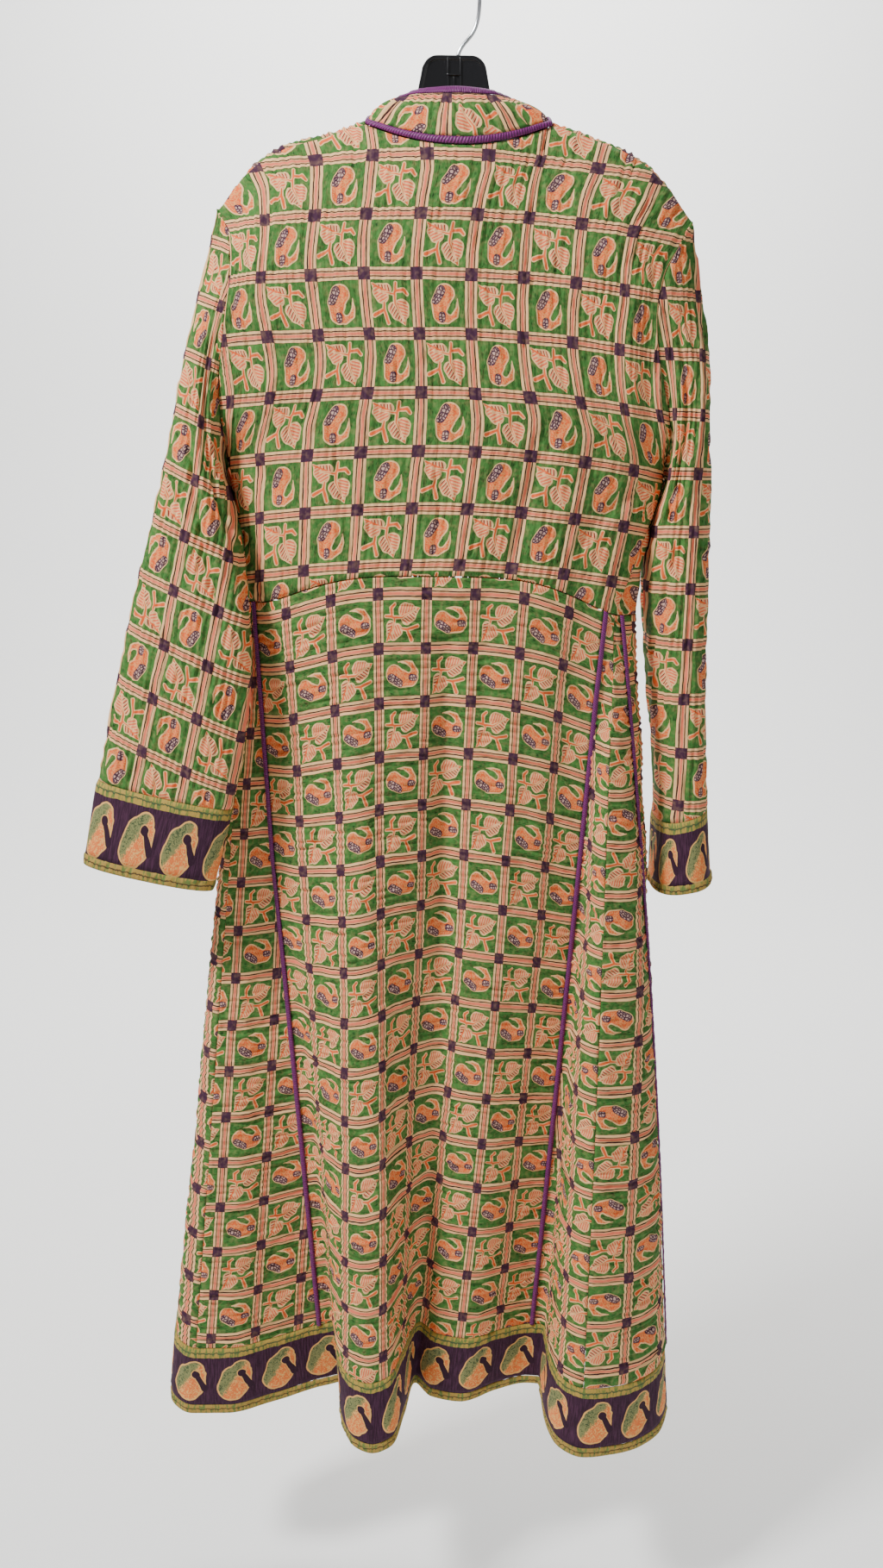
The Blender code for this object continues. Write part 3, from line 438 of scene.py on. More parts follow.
@dataclass(frozen=True)
class SleeveForm:
    """The hanging shape of one sleeve, from the armhole to the hand."""

    side: int
    sections: Table
    torso: TorsoForm = TorsoForm()
    armhole_holds: float = 0.22
    armpit_spring: float = 0.12
    seam: float = 0.0003
    cuff_top: float = 0.885
    cuff_foot: float = 0.985
    loop_steps: int = 90

    def armhole(self) -> tuple[Array, Array]:
        """The armhole's points and the angle round the sleeve that each belongs to."""
        downs = np.linspace(0.0, self.torso.armpit, self.loop_steps)
        back = self.torso.point(np.full_like(downs, 90.0 * self.side), downs)
        front_turns = np.full_like(downs, self.torso.front_side_turn * self.side)
        front = self.torso.front_point(front_turns, downs)
        halves = []
        for run, turned in ((back, 1.0), (front, -1.0)):
            top = int(np.argmax(run[:, 2]))
            steps = np.linalg.norm(np.diff(run, axis=0), axis=1)
            gone = np.concatenate(([0.0], np.cumsum(steps)))
            angles = np.pi * (gone - gone[top]) / (gone[-1] - gone[top])
            halves.append((turned * np.clip(angles, 0.0, np.pi), run))
        angles = np.concatenate((halves[1][0][::-1], halves[0][0]))
        points = np.concatenate((halves[1][1][::-1], halves[0][1]))
        order = np.argsort(angles, kind="stable")
        return points[order], angles[order]

    def point(self, angle: Array, along: Array) -> Array:
        """Points of the sleeve: angle 0 on its outer line, growing round its back."""
        loop, marks = self.armhole()
        hold = np.maximum(0.0, 1 - along / self.armhole_holds) ** 2
        away = self.seam * 1.5 + along * self.armpit_spring * (1 - np.cos(angle)) / 2
        outer = [self.sections.at(f"outer_{axis}", along) for axis in "xyz"]
        inner = [self.sections.at(f"inner_{axis}", along) for axis in "xyz"]
        depth = self.sections.at("depth", along)
        long, short = signed_power(np.cos(angle), 0.8), signed_power(np.sin(angle), 0.8)
        ring = [(o + i) / 2 + (o - i) / 2 * long for o, i in zip(outer, inner)]
        ring[1] = ring[1] - depth * short
        held = [np.interp(angle, marks, loop[:, axis]) for axis in range(3)]
        held[0] = held[0] + self.side * away
        return stack(*(mix(r, h, hold) for r, h in zip(ring, held)))


SLEEVE_COLUMNS = "along outer_x outer_y outer_z inner_x inner_y inner_z depth"
LEFT_SLEEVE = SleeveForm(
    side=-1,
    sections=Table(
        SLEEVE_COLUMNS,
        (0.00, -0.2130, 0.000, -0.215, -0.2080, 0.000, -0.444, 0.042),
        (0.10, -0.2350, -0.005, -0.290, -0.2140, -0.006, -0.454, 0.042),
        (0.24, -0.2525, -0.013, -0.372, -0.2135, -0.022, -0.480, 0.039),
        (0.38, -0.2690, -0.022, -0.450, -0.2035, -0.041, -0.524, 0.035),
        (0.52, -0.2880, -0.032, -0.530, -0.1900, -0.055, -0.578, 0.031),
        (0.66, -0.3070, -0.040, -0.610, -0.1840, -0.062, -0.642, 0.027),
        (0.78, -0.3220, -0.046, -0.676, -0.1900, -0.065, -0.704, 0.025),
        (0.885, -0.3325, -0.050, -0.733, -0.2010, -0.065, -0.758, 0.024),
        (1.00, -0.3495, -0.053, -0.815, -0.2210, -0.065, -0.838, 0.023),
    ),
)
RIGHT_SLEEVE = SleeveForm(
    side=1,
    sections=Table(
        SLEEVE_COLUMNS,
        (0.00, 0.2180, 0.000, -0.215, 0.2040, 0.000, -0.444, 0.042),
        (0.10, 0.2350, 0.000, -0.290, 0.2070, 0.000, -0.456, 0.043),
        (0.24, 0.2435, 0.002, -0.368, 0.2070, 0.003, -0.484, 0.045),
        (0.38, 0.2480, 0.006, -0.446, 0.2025, 0.008, -0.526, 0.048),
        (0.52, 0.2510, 0.010, -0.528, 0.1990, 0.015, -0.582, 0.051),
        (0.66, 0.2540, 0.014, -0.612, 0.2020, 0.020, -0.645, 0.053),
        (0.78, 0.2580, 0.017, -0.688, 0.2100, 0.024, -0.712, 0.055),
        (0.885, 0.2640, 0.019, -0.764, 0.2130, 0.024, -0.780, 0.056),
        (1.00, 0.2720, 0.020, -0.840, 0.2120, 0.024, -0.852, 0.057),
    ),
)


@dataclass(frozen=True)
class CollarForm:
    """The band round the neck and down both fronts, from its seam to its free edge."""

    torso: TorsoForm = TorsoForm()
    roll: float = 0.005
    stand_share: float = 0.30
    forward: float = 0.010
    slant: float = 0.12
    lap: float = 0.0015
    top: Table = Table(
        "round x y z",
        (-1.00, -0.0450, -0.004, -0.1125),
        (-0.60, -0.0300, -0.024, -0.1110),
        (0.00, 0.0020, -0.031, -0.1100),
        (0.60, 0.0320, -0.024, -0.1110),
        (1.00, 0.0460, -0.004, -0.1125),
    )
    downs: tuple[float, ...] = (
        0.0, 0.02, 0.04, 0.06, 0.10, 0.16, 0.23, 0.31, 0.40, 0.49, 0.57, 0.64, 0.73, 0.82, 0.91, 1.0
    )
    neck_columns: int = 12

    def edges(self) -> tuple[Array, Array]:
        """The seam and the free edge, from the left waist round the neck to the right waist."""
        downs = np.array(self.downs)
        runs = []
        for side in (-1, 1):
            plain = self.torso.front_point(self.torso.neck_edge_turn(side, downs), downs)
            lap = plain + np.array((-side * self.torso.band_width, self.lap, 0.0))
            stand = stack(*(self.top.at(axis, float(side)) for axis in "xyz"))
            ahead = self.forward * downs / self.torso.over_shoulder
            stand = stand + stack(0 * downs, ahead, -self.slant * downs)
            share = ease(downs / self.stand_share)
            runs.append((plain, mix(stand, lap, share[:, None])))
        zero = np.zeros(1)
        ends = []
        for side in (-1, 1):
            half_width = self.torso.half_width(zero + side, zero)
            reach = (self.torso.neck_half + side * self.torso.neck_centre) / half_width
            ends.append(side * np.degrees(np.arcsin(reach[0] ** (1 / self.torso.super))))
        turns = np.linspace(ends[0], ends[1], self.neck_columns + 1)[1:-1]
        back = self.torso.point(turns, np.zeros_like(turns))
        places = np.linspace(-1.0, 1.0, len(turns) + 2)[1:-1]
        middle = stack(*(self.top.at(axis, places) for axis in "xyz"))
        (left_seam, left_free), (right_seam, right_free) = runs
        seam = np.concatenate((left_seam[::-1], back, right_seam))
        free = np.concatenate((left_free[::-1], middle, right_free))
        return seam, free

    def point(self, round_share: Array, across: Array) -> Array:
        """Points of the band: round from 0 to 1, across from the seam to the free edge."""
        seam, free = self.edges()
        before = np.concatenate((seam[:1], seam[:-1]))
        after = np.concatenate((seam[1:], seam[-1:]))
        along = after - before
        out = np.cross(along, free - seam)
        out /= np.linalg.norm(out, axis=1, keepdims=True)
        level = np.concatenate((seam[:, :2], 0 * seam[:, :1]), axis=1)
        out *= np.where((out * level).sum(axis=1, keepdims=True) < 0, -1.0, 1.0)
        keys = self.marks()

        def read(values: Array) -> Array:
            """The given values at every place round the band."""
            columns = [smooth_read(keys, values[:, axis], round_share) for axis in range(3)]
            return np.stack(columns, axis=-1)

        bulge = self.roll * np.sin(np.pi * across)[..., None]
        return mix(read(seam), read(free), across[..., None]) + read(out) * bulge

    def marks(self) -> Array:
        """The share round the band of each point of its edges."""
        seam, free = self.edges()
        middle = (seam + free) / 2
        run = np.concatenate(([0.0], np.cumsum(np.linalg.norm(np.diff(middle, axis=0), axis=1))))
        return run / run[-1]

    def length(self) -> float:
        """The band's real length along its middle."""
        seam, free = self.edges()
        return float(np.linalg.norm(np.diff((seam + free) / 2, axis=0), axis=1).sum())


# Cloth with its quilting and creases


class Facing(Enum):
    """Which way the print's upright points on a piece, seen from outside."""

    UP = "up"
    DOWN = "down"
    LEFT = "left"
    RIGHT = "right"


@dataclass(frozen=True)
class Quilting:
    """Rows of running stitch that draw three thin layers into soft uneven ridges."""

    pitch: float = 7.0 * MM
    rise: float = 2.5 * MM
    stitch: float = 9.0 * MM
    pucker: float = 1.1 * MM
    sway: float = 1.2
    seam_dip: float = 0.9 * MM
    seam_reach: float = 5.0 * MM

    def height(self, across: Array, along: Array, seed: int) -> Array:
        """Height of the ridges.

        Args:
            across: Distance across the rows of stitching, in metres.
            along: Distance along them.
            seed: Which unevenness to draw.

        Returns:
            How far each point stands out.
        """
        sway = self.sway * soft_noise(across, along, 0.030, 0.060, seed)
        ridge = np.cos(2 * np.pi * across / self.pitch + sway)
        strength = 0.62 + 0.38 * soft_noise(across, along, self.pitch * 1.2, 0.022, seed + 1)
        pucker = soft_noise(across, along, self.pitch / 2, self.stitch, seed + 2)
        return self.rise * (ridge - 1) / 2 * strength + self.pucker * pucker


@dataclass(frozen=True)
class Crease:
    """A soft trough or ridge laid on a piece, in shares across and down it."""

    start: tuple[float, float]
    end: tuple[float, float]
    width: float
    depth: float

    def height(self, s: Array, t: Array, size: tuple[float, float]) -> Array:
        """How far the crease moves each point in or out.

        Args:
            s: Shares across the piece.
            t: Shares down the piece.
            size: The piece's width and length in metres.

        Returns:
            Metres outwards, below zero in a trough.
        """
        ax, ay = self.start[0] * size[0], self.start[1] * size[1]
        bx, by = (self.end[0] - self.start[0]) * size[0], (self.end[1] - self.start[1]) * size[1]
        px, py = s * size[0] - ax, t * size[1] - ay
        share = np.clip((px * bx + py * by) / (bx * bx + by * by), 0.0, 1.0)
        off = np.hypot(px - bx * share, py - by * share)
        taper = np.sin(np.pi * (0.12 + 0.76 * share))
        return self.depth * taper * np.exp(-((off / self.width) ** 2))


@dataclass
class ClothPiece:
    """One cut piece of quilted cloth, its place on the robe and how its print lies."""

    name: str
    shape: Shape
    size: tuple[float, float]
    flat: Callable[[Array, Array, Array], tuple[Array, Array]]
    facing: Facing = Facing.UP
    shift: tuple[float, float] = (0.0, 0.0)
    creases: tuple[Crease, ...] = ()
    quilting: Quilting = Quilting()
    closed: bool = False
    seed: int = 1
    thickness: float = 2.0 * MM
    fine: float = 2.2 * MM
    coarse: float = 5.0 * MM
    swell: float = 1.2 * MM
    inset: float = 0.3 * MM
    arch: float = 0.0

    def print_place(self, u: Array, v: Array) -> tuple[Array, Array]:
        """Turns a place on the cloth, right and down in metres, into a place on the print."""
        turned = {
            Facing.UP: (u, -v),
            Facing.DOWN: (-u, v),
            Facing.LEFT: (-v, -u),
            Facing.RIGHT: (v, u),
        }[self.facing]
        return turned[0] + self.shift[0], turned[1] + self.shift[1]

    def relief(self, s: Array, t: Array, a: Array, b: Array) -> Array:
        """How far each point stands out from the piece's form."""
        width, length = self.size
        rows = np.minimum(t, 1 - t) * length
        columns = np.minimum(s, 1 - s) * width
        edge = ease(np.minimum(rows, columns) / self.quilting.seam_reach)
        height = self.quilting.height(a, b, self.seed) * edge - self.quilting.seam_dip * (1 - edge)
        height = height + self.swell * edge * soft_noise(a, b, 0.055, 0.075, self.seed + 7)
        for crease in self.creases:
            height = height + crease.height(s, t, self.size) * edge
        return height + self.arch * np.sin(np.pi * t) ** 0.7

    def surface(self, s: Array, t: Array) -> Array:
        """The form's points, drawn back from its edges by the seam's gap."""
        across = self.inset / self.size[0] if not self.closed else 0.0
        down = self.inset / self.size[1]
        return self.shape(mix(across, 1 - across, s), mix(down, 1 - down, t))

    def normals(self, s: Array, t: Array) -> Array:
        """The outward direction at each point."""
        small = 1e-3
        low, high = np.clip(s - small, 0, 1), np.clip(s + small, 0, 1)
        if self.closed:
            low, high = (s - small) % 1.0, (s + small) % 1.0
        across = self.surface(high, t) - self.surface(low, t)
        down = self.surface(s, np.clip(t + small, 0, 1)) - self.surface(s, np.clip(t - small, 0, 1))
        out = np.cross(down, across)
        return out / np.maximum(np.linalg.norm(out, axis=-1, keepdims=True), 1e-12)

    def build(self, material: Material) -> bpy.types.Object:
        """Makes the piece as a thin shell with its print map.

        Args:
            material: The piece's finish.

        Returns:
            The finished object.
        """
        sideways = self.facing in (Facing.LEFT, Facing.RIGHT)
        step_s, step_t = (self.coarse, self.fine) if sideways else (self.fine, self.coarse)
        columns = max(4, round(self.size[0] / step_s))
        rows = max(2, round(self.size[1] / step_t))
        cloth = bmesh.new()
        bmesh.ops.create_grid(cloth, x_segments=columns, y_segments=rows, size=0.5)
        at = np.array([vertex.co for vertex in cloth.verts])
        s, t = np.clip(at[:, 0] + 0.5, 0, 1), np.clip(0.5 - at[:, 1], 0, 1)
        points = self.surface(s, t)
        a, b = self.print_place(*self.flat(s, t, points))
        points = points + self.normals(s, t) * self.relief(s, t, a, b)[:, None]
        for vertex, point in zip(cloth.verts, points):
            vertex.co = point
        cloth.verts.index_update()
        layer = cloth.loops.layers.uv.new(PRINT_MAP)
        for face in cloth.faces:
            for loop in face.loops:
                index = loop.vert.index
                loop[layer].uv = (a[index], b[index])
        if self.closed:
            bmesh.ops.remove_doubles(cloth, verts=cloth.verts, dist=0.02 * MM)
        return shell(f"{self.name}_cloth", cloth, material, self.thickness)


def put_in_scene(name: str, data: bpy.types.ID) -> bpy.types.Object:
    """Makes an object from its data and puts it in the scene."""
    made = bpy.data.objects.new(name, data)
    bpy.context.scene.collection.objects.link(made)
    return made


def smooth_mesh(name: str, form: bmesh.types.BMesh, material: Material) -> bpy.types.Object:
    """Makes a smooth object from a form, which is freed."""
    data = bpy.data.meshes.new(name)
    form.to_mesh(data)
    form.free()
    data.materials.append(material)
    data.shade_smooth()
    return put_in_scene(name, data)


def shell(name: str, cloth: bmesh.types.BMesh, material: Material, thickness: float) -> bpy.types.Object:
    """Turns a surface whose faces point out into an object with an even wall.

    Args:
        name: The object's name.
        cloth: The surface, which is freed.
        material: Its finish.
        thickness: How thick the wall is, inwards.

    Returns:
        The object.
    """
    piece = smooth_mesh(name, cloth, material)
    wall = piece.modifiers.new("wall", "SOLIDIFY")
    wall.thickness = thickness
    wall.offset = -1.0
    return piece


# Finishes


def linear(code: str) -> tuple[float, float, float, float]:
    """Turns an sRGB hex colour into the linear values that a shader takes."""
    values = [int(code[i:i + 2], 16) / 255 for i in (1, 3, 5)]
    turned = [v / 12.92 if v <= 0.04045 else ((v + 0.055) / 1.055) ** 2.4 for v in values]
    return (*turned, 1.0)


class Draft:
    """A material while its nodes are being laid out."""

    def __init__(self, name: str) -> None:
        """Starts a material with an empty tree."""
        self.material = bpy.data.materials.new(name)
        self.material.use_nodes = True
        self.tree = self.material.node_tree
        self.tree.nodes.clear()

    def add(self, kind: str, links: dict, take: int | str = 0, **settings: object) -> Socket:
        """Adds a node with its settings and links.

        Args:
            kind: The node's type, without its usual first word.
            links: A socket, number, vector or colour for each input by name or number.
            take: The output that is wanted.
            settings: The node's other settings.

        Returns:
            The wanted output.
        """
        node = self.tree.nodes.new("ShaderNode" + kind)
        for name, value in settings.items():
            setattr(node, name, value)
        for name, value in links.items():
            if isinstance(value, bpy.types.NodeSocket):
                self.tree.links.new(value, node.inputs[name])
            else:
                node.inputs[name].default_value = value
        return node.outputs[take]

    def number(self, operation: str, *values: Socket | float, clamp: bool = False) -> Socket:
        """A number worked out from others."""
        return self.add("Math", dict(enumerate(values)), operation=operation, use_clamp=clamp)

    def vector(self, operation: str, *values: Socket | tuple) -> Socket:
        """A vector worked out from others, or a number where it is a length or a dot product."""
        take = 1 if operation in ("DOT_PRODUCT", "LENGTH") else 0
        return self.add("VectorMath", dict(enumerate(values)), take=take, operation=operation)

    def noise(self, spot: Socket, size: float, detail: float, take: int | str = 0) -> Socket:
        """Soft noise with lumps of a size in the spot's own units."""
        return self.add("TexNoise", {"Vector": spot, "Scale": 1 / size, "Detail": detail}, take=take)

    def lumps(self, spot: Socket, size: tuple[float, float], detail: float) -> Socket:
        """Soft noise with lumps of a width and a height in the spot's own units."""
        return self.noise(self.vector("MULTIPLY", spot, (1 / size[0], 1 / size[1], 0)), 1.0, detail)

    def in_millimetres(self, place: Socket) -> Socket:
        """A place that is given in metres, in millimetres."""
        return self.add("VectorMath", {0: place, "Scale": 1 / MM}, operation="SCALE")

    def on_print(self) -> Socket:
        """The place on the print, in millimetres."""
        return self.in_millimetres(self.add("UVMap", {}, uv_map=PRINT_MAP))

    def on_object(self) -> Socket:
        """The place in the object's own space, in millimetres."""
        return self.in_millimetres(self.add("TexCoord", {}, take="Object"))

    def paint(self, under: Socket | tuple, over: Socket | tuple, where: Socket | float) -> Socket:
        """Lays one colour over another where a mask is 1."""
        return self.add("Mix", {0: where, 6: under, 7: over}, take=2, data_type="RGBA")

    def within(self, distance: Socket, edge: float = 0.0, soft: float = 0.3) -> Socket:
        """A mask that is 1 where a distance is below an edge."""
        return self.number("MULTIPLY_ADD", distance, -1 / soft, edge / soft + 0.5, clamp=True)

    def both(self, first: Socket, second: Socket) -> Socket:
        """A mask where two masks meet."""
        return self.number("MULTIPLY", first, second)

    def surface(self, shader: dict, bump: Socket | None = None, strength: float = 0.5) -> Material:
        """Ends the material with one main shader.

        Args:
            shader: Its inputs.
            bump: A height in millimetres for fine relief.
            strength: How much of it shows.

        Returns:
            The material.
        """
        if bump is not None:
            relief = {"Height": bump, "Distance": MM, "Strength": strength}
            shader = {**shader, "Normal": self.add("Bump", relief)}
        made = self.add("BsdfPrincipled", shader)
        self.add_output(made)
        return self.material

    def add_output(self, shader: Socket) -> None:
        """Links the shader to the material's output."""
        output = self.tree.nodes.new("ShaderNodeOutputMaterial")
        self.tree.links.new(shader, output.inputs["Surface"])


@dataclass(frozen=True)
class Stroke:
    """A mark of the print with two round ends, in millimetres from the middle of its block."""

    ax: float
    ay: float
    ra: float
    bx: float
    by: float
    rb: float

    def distance(self, draft: Draft, spot: Socket) -> Socket:
        """Distance outside the mark, below zero inside it."""
        run_x, run_y = self.bx - self.ax, self.by - self.ay
        reach = max(run_x**2 + run_y**2, 1e-6)
        away = draft.vector("SUBTRACT", spot, (self.ax, self.ay, 0))
        slope = (run_x / reach, run_y / reach, 0)
        along = draft.vector("DOT_PRODUCT", away, slope)
        share = draft.add("Clamp", {0: along})
        off = draft.vector("MULTIPLY_ADD", share, (-run_x, -run_y, 0), away)
        length = draft.vector("LENGTH", off)
        bare = draft.number("SUBTRACT", length, self.ra)
        return draft.number("MULTIPLY_ADD", share, self.ra - self.rb, bare)


def joined(draft: Draft, spot: Socket, strokes: tuple[Stroke, ...]) -> Socket:
    """Distance outside the nearest of several marks."""
    nearest = strokes[0].distance(draft, spot)
    for mark in strokes[1:]:
        nearest = draft.number("MINIMUM", nearest, mark.distance(draft, spot))
    return nearest


@dataclass(frozen=True)
class Leaf:
    """A printed leaf: its blade, and the line of its midrib."""

    blade: tuple[Stroke, ...]
    foot: tuple[float, float]
    tip: tuple[float, float]

    def draw(self, draft: Draft, spot: Socket, ground: Socket, inks: "PrintedCotton") -> Socket:
        """Paints the leaf over the ground.

        Args:
            draft: The material being drawn.
            spot: Place on the block, in millimetres.
            ground: What is painted so far.
            inks: The print's colours.

        Returns:
            The colour with the leaf on it.
        """
        run_x, run_y = self.tip[0] - self.foot[0], self.tip[1] - self.foot[1]
        length = math.hypot(run_x, run_y)
        axis, side = (run_x / length, run_y / length, 0), (-run_y / length, run_x / length, 0)
        away = draft.vector("SUBTRACT", spot, (*self.foot, 0))
        along = draft.vector("DOT_PRODUCT", away, axis)
        off = draft.vector("DOT_PRODUCT", away, side)
        out = draft.number("ABSOLUTE", off)
        veins = draft.number("MULTIPLY_ADD", out, -0.75, along)
        pitch = draft.number("MULTIPLY", veins, 1 / inks.vein_pitch)
        part = draft.number("FRACT", pitch)
        inside = joined(draft, spot, self.blade)
        leaf = draft.paint(ground, linear(inks.cream), draft.within(inside))
        inner = draft.within(inside, -1.2)
        leaf = draft.paint(leaf, linear(inks.salmon), draft.both(draft.within(part, 0.62, 0.3), inner))
        fine = draft.both(draft.within(part, 0.26, 0.1), inner)
        leaf = draft.paint(leaf, linear(inks.orange), fine)
        dark = draft.both(draft.both(fine, draft.within(off, -0.4, 0.6)), draft.within(out, 7.0, 1.0))
        leaf = draft.paint(leaf, linear(inks.brown), dark)
        midrib = draft.both(draft.within(out, 0.8), draft.within(inside, -0.6))
        return draft.paint(leaf, linear(inks.orange), midrib)


SPRIG_LEAVES = (
    Leaf(
        (
            Stroke(-4.6, 12.4, 5.4, -12.5, 13.5, 4.4),
            Stroke(-8.4, 5.8, 6.2, -12.6, 10.4, 5.4),
            Stroke(-12.4, 12.0, 5.2, -18.4, 18.3, 0.4),
        ),
        foot=(2.2, 8.0),
        tip=(-18.4, 17.6),
    ),
    Leaf(
        (
            Stroke(9.4, -3.4, 7.5, 9.6, -8.4, 6.6),
            Stroke(2.4, -4.4, 5.9, 6.0, -8.4, 7.2),
            Stroke(7.4, -8.8, 8.0, 12.2, -19.4, 0.4),
        ),
        foot=(3.4, 4.0),
        tip=(12.2, -19.4),
    ),
)
SPRIG_STEMS = (
    Stroke(4.7, 18.2, 1.4, 4.2, 10.8, 1.7),
    Stroke(4.6, 11.4, 1.6, 12.0, 12.0, 1.9),
    Stroke(12.0, 12.0, 1.9, 15.3, 8.2, 1.4),
    Stroke(-12.0, 11.2, 0.5, 3.2, 8.2, 1.3),
    Stroke(3.4, 10.0, 1.5, 3.4, 0.0, 1.2),
    Stroke(3.4, 0.0, 1.1, 11.0, -15.6, 0.5),
    Stroke(-6.8, 1.0, 1.1, -7.4, -5.4, 1.6),
    Stroke(-7.4, -5.4, 1.6, -17.2, -10.2, 2.1),
    Stroke(-7.4, -5.4, 1.6, -4.2, -17.0, 1.8),
)
PAISLEY_BODY = (
    Stroke(1.0, 9.2, 9.2, -3.6, 1.0, 8.4),
    Stroke(-3.6, 1.0, 8.4, -1.8, -9.4, 9.2),
)
PAISLEY_TAIL = (
    Stroke(2.4, -14.4, 4.2, 10.0, -10.4, 3.2),
    Stroke(10.0, -10.4, 3.2, 12.4, -3.6, 1.8),
    Stroke(12.4, -3.6, 1.8, 12.4, 5.0, 0.3),
)
PAISLEY_HOLLOW = (Stroke(5.2, -7.4, 2.3, 7.2, -3.0, 2.2), Stroke(7.2, -3.0, 2.2, 10.6, 3.0, 1.5))
PAISLEY_FLOWER = Stroke(-7.8, 3.6, 4.6, -3.2, 12.2, 4.8)
PAISLEY_BUD = Stroke(-2.1, -10.4, 3.2, -2.4, -14.2, 3.1)


@dataclass(frozen=True)
class PrintedCotton:
    """Thin cotton lawn, plain woven, block-printed by hand and washed soft.

    It is matt, with inks that sit unevenly in the weave, and with the small wrinkles that its quilting
    draws up.
    """

    green: str = "#39692d"
    green_pale: str = "#4a7e3a"
    green_deep: str = "#20401b"
    cream: str = "#f4c48a"
    salmon: str = "#ee7a5c"
    orange: str = "#ec6430"
    orange_pale: str = "#f09a5a"
    brown: str = "#34161a"
    plum: str = "#43253a"
    petal: str = "#cfa89c"
    block_wide: float = 50.0
    block_high: float = 53.5
    band: float = 5.6
    line: float = 3.1
    vein_pitch: float = 3.4
    wobble: float = 0.9
    drift: float = 3.0
    wobble_size: float = 9.0
    drift_size: float = 80.0
    cloud: float = 14.0
    thread: tuple[float, float] = (0.9, 5.0)
    wrinkle: tuple[float, float] = (2.6, 6.5)
    weave: float = 0.8
    petal_size: float = 2.9
    scribble_size: float = 3.1
    worn_patch: float = 5.0
    fading: float = 0.25
    rough: float = 0.86

    def spots(self, draft: Draft) -> tuple[Socket, Socket, Socket]:
        """The place on the print in millimetres, plain and as the printer's hand laid it."""
        plain = draft.on_print()
        laid = plain
        for size, reach in ((self.wobble_size, self.wobble), (self.drift_size, self.drift)):
            noise = draft.noise(plain, size, 1.0, take="Color")
            centred = draft.vector("SUBTRACT", noise, (0.5, 0.5, 0.5))
            laid = draft.vector("MULTIPLY_ADD", centred, (reach, reach, 0.0), laid)
        size = (1 / self.block_wide, 1 / self.block_high, 0.0)
        blocks = draft.vector("MULTIPLY", laid, size)
        return plain, laid, blocks

    def ground(self, draft: Draft, plain: Socket) -> Socket:
        """The dyed ground, mottled by hand and streaked along its threads."""
        clouds = draft.noise(plain, self.cloud, 1.0)
        mottled = draft.number("MULTIPLY_ADD", clouds, 2.4, -0.7, clamp=True)
        dyed = draft.paint(linear(self.green), linear(self.green_pale), mottled)
        threads = draft.lumps(plain, self.thread, 1.0)
        streaks = draft.within(threads, 0.40, 0.14)
        streaked = draft.both(streaks, draft.within(mottled, 0.7, 0.6))
        return draft.paint(dyed, linear(self.green_deep), streaked)

    def bands(self, draft: Draft, ground: Socket, local: Socket) -> Socket:
        """The check's bands, lined in brown, with a plum square at every crossing and a thin line of
        painted shade along their outer edges.
        """
        off = draft.vector("ABSOLUTE", local)
        half = (self.block_wide / 2, self.block_high / 2, 0)
        near = draft.vector("SUBTRACT", half, off)
        x = draft.add("SeparateXYZ", {0: near}, take="X")
        y = draft.add("SeparateXYZ", {0: near}, take="Y")
        edge = draft.number("MINIMUM", x, y)
        corner = draft.number("MAXIMUM", x, y)
        drawn = ground
        # The first ink, deep green just outside each band, is painted shade where the puckered ground
        # dips at the band's edge.
        for reach, ink in (
            (self.band + 0.4, self.green_deep),
            (self.band, self.cream),
            (self.line, self.brown),
            (self.line - 1.2, self.cream),
            (self.line - 1.7, self.salmon),
        ):
            drawn = draft.paint(drawn, linear(ink), draft.within(edge, reach))
        return draft.paint(drawn, linear(self.plum), draft.within(corner, self.band + 0.2))

    def paisley(self, draft: Draft, ground: Socket, spot: Socket, scribble: Socket) -> Socket:
        """The curled paisley with its flower and bud."""
        body = joined(draft, spot, PAISLEY_BODY + PAISLEY_TAIL)
        hollow = joined(draft, spot, PAISLEY_HOLLOW)
        hole = draft.number("MULTIPLY", hollow, -1.0)
        body = draft.number("MAXIMUM", body, hole)
        ink = draft.paint(linear(self.orange), linear(self.orange_pale), scribble)
        drawn = draft.paint(ground, linear(self.cream), draft.within(body))
        drawn = draft.paint(drawn, ink, draft.within(body, -1.3))
        flower = PAISLEY_FLOWER.distance(draft, spot)
        bud = PAISLEY_BUD.distance(draft, spot)
        centre = draft.number("MINIMUM", flower, bud)
        inner = draft.number("ADD", body, 0.7)
        centre = draft.number("MAXIMUM", centre, inner)
        network = {"feature": "DISTANCE_TO_EDGE", "voronoi_dimensions": "2D"}
        net = {"Vector": spot, "Scale": 1 / self.petal_size}
        cells = draft.add("TexVoronoi", net, take="Distance", **network)
        petals = draft.number("MULTIPLY_ADD", cells, -5.0, 1.6, clamp=True)
        flowered = draft.paint(linear(self.petal), linear(self.plum), petals)
        drawn = draft.paint(drawn, linear(self.plum), draft.within(centre))
        return draft.paint(drawn, flowered, draft.within(centre, -0.7))

    def sprig(self, draft: Draft, ground: Socket, spot: Socket) -> Socket:
        """The sprig of two leaves with its buds."""
        drawn = ground
        for leaf in SPRIG_LEAVES:
            drawn = leaf.draw(draft, spot, drawn, self)
        stems = joined(draft, spot, SPRIG_STEMS)
        drawn = draft.paint(drawn, linear(self.cream), draft.within(stems, 0.35))
        return draft.paint(drawn, linear(self.orange), draft.within(stems, -0.55, 0.4))

    def weave_bump(self, draft: Draft, plain: Socket) -> Socket:
        """Height of the weave and of the short wrinkles across the stitching, in millimetres."""
        wrinkles = draft.lumps(plain, self.wrinkle, 0.0)
        threads = draft.noise(plain, self.weave, 0.0)
        fine = draft.number("MULTIPLY", threads, 0.12)
        return draft.number("MULTIPLY_ADD", wrinkles, 1.1, fine)

